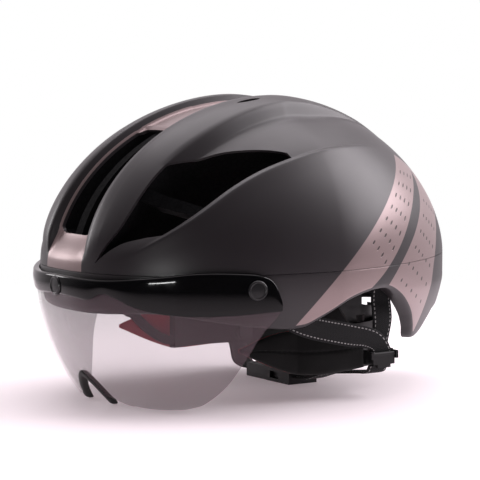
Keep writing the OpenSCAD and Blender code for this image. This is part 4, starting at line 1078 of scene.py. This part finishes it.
class HELMET_OT_pads(MadePiece, bpy.types.Operator):
    """Brow, crown and side pads in brushed knit"""
    bl_idname = "helmet.pads"
    bl_label = "Pads"

    def make(self, h, f):
        jobs = [("pad_brow", "brow_pad", brow_place, 140, 48, PAD_T, (0.36, 0.64), 1),
                ("pad_crown_left", "crown_pad_left", crown_place, 110, 32, PAD_T, (0.5,), 1),
                ("pad_crown_right", "crown_pad_right", crown_place, 110, 32, PAD_T, (0.5,), -1),
                ("pad_side_left", "side_pad_left", side_place, 120, 36, SIDE_PAD_T, (0.5,), 1),
                ("pad_side_right", "side_pad_right", side_place, 120, 36, SIDE_PAD_T, (0.5,), -1)]
        for name, node, place, rows, cols, thick, seams, side in jobs:
            points, faces, uv = cushion(place, rows, cols, thick, seams)
            if place is side_place:
                uv[:, 0] = np.where(uv[:, 0] > 1.05, uv[:, 0] - BACK_U, uv[:, 0] + BACK_U)
            made = piece(name, points*[side, 1, 1], faces, node, finish=f["knit"], uv=uv,
                         sharp=60, recalc=True)


def webbing(knots, rows):
    """A woven strap along its knots: an oblong section with rounded edges, square to the route and turned to
    the knots' widths. Returns points, faces and a UV of the distance along in decimetres and the place
    across."""
    k = np.array(knots, float)
    at = np.linspace(0, 1, len(k))
    run = np.linspace(0, 1, rows)
    fields = [curve(np.stack([at, k[:, c]], -1), run) for c in range(6)]
    p, w = np.stack(fields[:3], -1), np.stack(fields[3:], -1)
    w = w/np.linalg.norm(w, axis=1)[:, None]
    q = np.gradient(p, axis=0)
    n = np.cross(q, w)
    n = n/np.linalg.norm(n, axis=1)[:, None]
    a = np.linspace(0, 2*np.pi, WEB_SIDES, endpoint=False)
    cw, cn = signed_power(np.cos(a), 0.28), signed_power(np.sin(a), 0.6)
    points = p[:, None] + w[:, None]*cw[None, :, None]*WEB_W/2 + n[:, None]*cn[None, :, None]*WEB_T/2
    length = np.concatenate([[0], np.cumsum(np.linalg.norm(np.diff(p, axis=0), axis=1))])/100
    uv = np.stack(np.broadcast_arrays(length[:, None], 0.5 + cw[None]/2), -1)
    return points.reshape(-1, 3), tube_faces(rows, WEB_SIDES), uv.reshape(-1, 2)


class HELMET_OT_webbing(MadePiece, bpy.types.Operator):
    """Webbing of the harness with its stitched edges"""
    bl_idname = "helmet.webbing"
    bl_label = "Webbing"

    def make(self, h, f):
        routes = [("strap_front", FRONT_ROUTE, FRONT_ROUTE, "front_strap"),
                  ("strap_rear", REAR_ROUTE, REAR_ROUTE, "rear_strap"),
                  ("strap_chin", CHIN_ROUTE, CHIN_ROUTE_FAR, "chin_strap")]
        for name, left, right, node in routes:
            for side, route, sign in (("left", left, 1), ("right", right, -1)):
                points, faces, uv = webbing(route, 140)
                made = piece(f"{name}_{side}", points*[sign, 1, 1], faces, f"{node}_{side}", finish=f["web"],
                             uv=uv, sharp=60, recalc=True)
                if node == "chin_strap" and side == "right":
                    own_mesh(made)


class HELMET_OT_fittings(MadePiece, bpy.types.Operator):
    """Finishes on the CAD parts that show as they are: fit ring, dial, dividers, buckle, clips and magnets"""
    bl_idname = "helmet.fittings"
    bl_label = "Fittings"

    def make(self, h, f):
        groups = {
            "plastic": ["band_left", "band_right", "cradle", "dial_cover", "divider_left", "divider_right",
                        "buckle_socket", "buckle_plug", "buckle_prong_front", "buckle_prong_rear"],
            "socket": ["fit_dial", "temple_anchor_left", "temple_anchor_right", "hanger_socket_left",
                       "hanger_socket_right", "divider_lever_left", "divider_lever_right", "strap_clips"],
            "grey": ["rack_left", "rack_right", "dial_pinion"],
            "steel": ["detent_spring", "dial_screw"],
            "nickel": ["shell_magnets", "visor_magnets"],
        }
        for finish, nodes in groups.items():
            for node in nodes:
                obj = frame["nodes"][node]
                obj.data.materials.clear()
                obj.data.materials.append(f[finish])


class HELMET_OT_stage(bpy.types.Operator):
    """Pale floor, soft lights and the camera"""
    bl_idname = "helmet.stage"
    bl_label = "Stage"

    def execute(self, context):
        stage = context.scene.helmet_stage
        a, e = stage.azimuth, stage.elevation
        back = Vector((math.sin(a)*math.cos(e), -math.cos(a)*math.cos(e), math.sin(e)))
        self.floor(context)
        self.camera(context, stage, back)
        self.lights(context, back, Vector((math.cos(a), math.sin(a), 0)))
        self.room(context.scene, stage, back)
        context.scene.view_settings.view_transform = "Standard"
        return {"FINISHED"}

    def floor(self, context):
        """A flat sheet just under the helmet, clear towards its rim so that it fades into the room."""
        line = np.linspace(-1.5, 1.5, 7)
        x, y = np.meshgrid(line, line, indexing="ij")
        points = np.stack([x, y, 0*x - 0.0002], -1).reshape(-1, 3)
        mesh = bpy.data.meshes.new("floor")
        mesh.from_pydata(points.tolist(), [], flip(grid_faces(len(line), len(line))).tolist())
        floor = bpy.data.objects.new("floor", mesh)
        context.collection.objects.link(floor)
        f = Finish("Floor_Paper", Roughness=0.55, Emission_Color=(1, 0.84, 0.9), Emission_Strength=0.2)
        cloud = f.noise(400, 2)
        x, y, _ = f.place()
        reach = ((x*x + y*y)**0.5)/1000
        f.set(Base_Color=f.blend(cloud, (0.86, 0.81, 0.83), (0.90, 0.85, 0.87)),
              Alpha=reach.below(FLOOR_REACH, FLOOR_FADE))
        mesh.materials.append(f.material)

    def camera(self, context, stage, back):
        """The photograph's camera, shifted so that the aim point falls on its pixel."""
        camera = bpy.data.objects.new("camera", bpy.data.cameras.new("camera"))
        camera.data.lens, camera.data.sensor_width = stage.lens, 36
        camera.data.shift_x = (PHOTO/2 - AIM_PIXEL[0])/PHOTO
        camera.data.shift_y = (AIM_PIXEL[1] - PHOTO/2)/PHOTO
        camera.location = AIM + back*stage.distance
        camera.rotation_mode = "QUATERNION"
        camera.rotation_quaternion = (-back).to_track_quat("-Z", "Y")
        context.collection.objects.link(camera)
        context.scene.camera = camera

    def lights(self, context, back, side):
        """Soft oblong lights round the helmet: name, place from its centre, size, power and colour."""
        rosy, centre = (1, 0.94, 0.98), Vector((0, 0, 0.1))
        boxes = [("overhead", Vector((0, 0, 1.5)) - back*0.6, (1.6, 1.2), 15, rosy),
                 ("rear_right", side*1.6 - back*0.45 + Vector((0, 0, 1.0)), (1.5, 1.5), 40, rosy),
                 ("brow_fill", Vector((-1.25, -0.74, 0.36)), (0.45, 0.5), 5, (1, 0.96, 0.98)),
                 ("window", Vector((0.586, -0.806, 0))*1.2 + Vector((0, 0, -0.03)), (0.36, 0.032), 1.7,
                  (1, 1, 1))]
        for name, place, size, power, colour in boxes:
            light = bpy.data.lights.new(name, "AREA")
            light.shape, light.size, light.size_y = "RECTANGLE", size[0], size[1]
            light.energy, light.color = power, colour
            obj = bpy.data.objects.new(name, light)
            obj.location = centre + place
            obj.rotation_mode = "QUATERNION"
            obj.rotation_quaternion = place.to_track_quat("Z", "Y")
            context.collection.objects.link(obj)

    def room(self, scene, stage, back):
        """Pale room that is brighter overhead and behind the helmet. The camera sees plain white."""
        world = bpy.data.worlds.new("room")
        scene.world = world
        world.use_nodes = True
        nodes, links = world.node_tree.nodes, world.node_tree.links
        dim, white = nodes["Background"], nodes.new("ShaderNodeBackground")
        dim.inputs["Color"].default_value = (1, 0.92, 0.96, 1)
        white.inputs["Color"].default_value = (1, 1, 1, 1)
        white.inputs["Strength"].default_value = 1.0
        way, ramp = nodes.new("ShaderNodeTexCoord"), nodes.new("ShaderNodeMapRange")
        turn = nodes.new("ShaderNodeVectorMath")
        turn.operation = "DOT_PRODUCT"
        links.new(way.outputs["Generated"], turn.inputs[0])
        turn.inputs[1].default_value = tuple(Vector((0, 0, 0.75)) - back*0.65)
        ramp.interpolation_type = "SMOOTHSTEP"
        for name, value in (("From Min", -0.25), ("From Max", 0.9), ("To Min", 0.02), ("To Max", stage.sky)):
            ramp.inputs[name].default_value = value
        links.new(turn.outputs["Value"], ramp.inputs["Value"])
        links.new(ramp.outputs["Result"], dim.inputs["Strength"])
        mixer, path = nodes.new("ShaderNodeMixShader"), nodes.new("ShaderNodeLightPath")
        links.new(path.outputs["Is Camera Ray"], mixer.inputs[0])
        links.new(dim.outputs[0], mixer.inputs[1])
        links.new(white.outputs[0], mixer.inputs[2])
        links.new(mixer.outputs[0], nodes["World Output"].inputs["Surface"])


class HELMET_PT_sidebar(bpy.types.Panel):
    """Sidebar panel with the helmet's settings and its operators"""
    bl_label = "Helmet"
    bl_idname = "HELMET_PT_sidebar"
    bl_space_type = "VIEW_3D"
    bl_region_type = "UI"
    bl_category = "Helmet"

    def draw(self, context):
        for group in (context.scene.helmet, context.scene.helmet_stage):
            for name in group.__annotations__:
                self.layout.prop(group, name)
        for operator in OPERATORS:
            self.layout.operator(operator.bl_idname)


OPERATORS = (HELMET_OT_stage, HELMET_OT_shells, HELMET_OT_foam, HELMET_OT_shield, HELMET_OT_pads,
             HELMET_OT_webbing, HELMET_OT_fittings)
CLASSES = (HelmetSettings, StageSettings) + OPERATORS + (HELMET_PT_sidebar,)


def register():
    """Adds the classes and the two groups of settings."""
    for cls in CLASSES:
        bpy.utils.register_class(cls)
    bpy.types.Scene.helmet = bpy.props.PointerProperty(type=HelmetSettings)
    bpy.types.Scene.helmet_stage = bpy.props.PointerProperty(type=StageSettings)


def unregister():
    """Takes them away again."""
    del bpy.types.Scene.helmet, bpy.types.Scene.helmet_stage
    for cls in reversed(CLASSES):
        bpy.utils.unregister_class(cls)


def main():
    """Builds every piece in order."""
    register()
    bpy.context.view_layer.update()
    for operator in OPERATORS:
        group, name = operator.bl_idname.split(".")
        getattr(getattr(bpy.ops, group), name)()


if __name__ == "__main__":
    main()
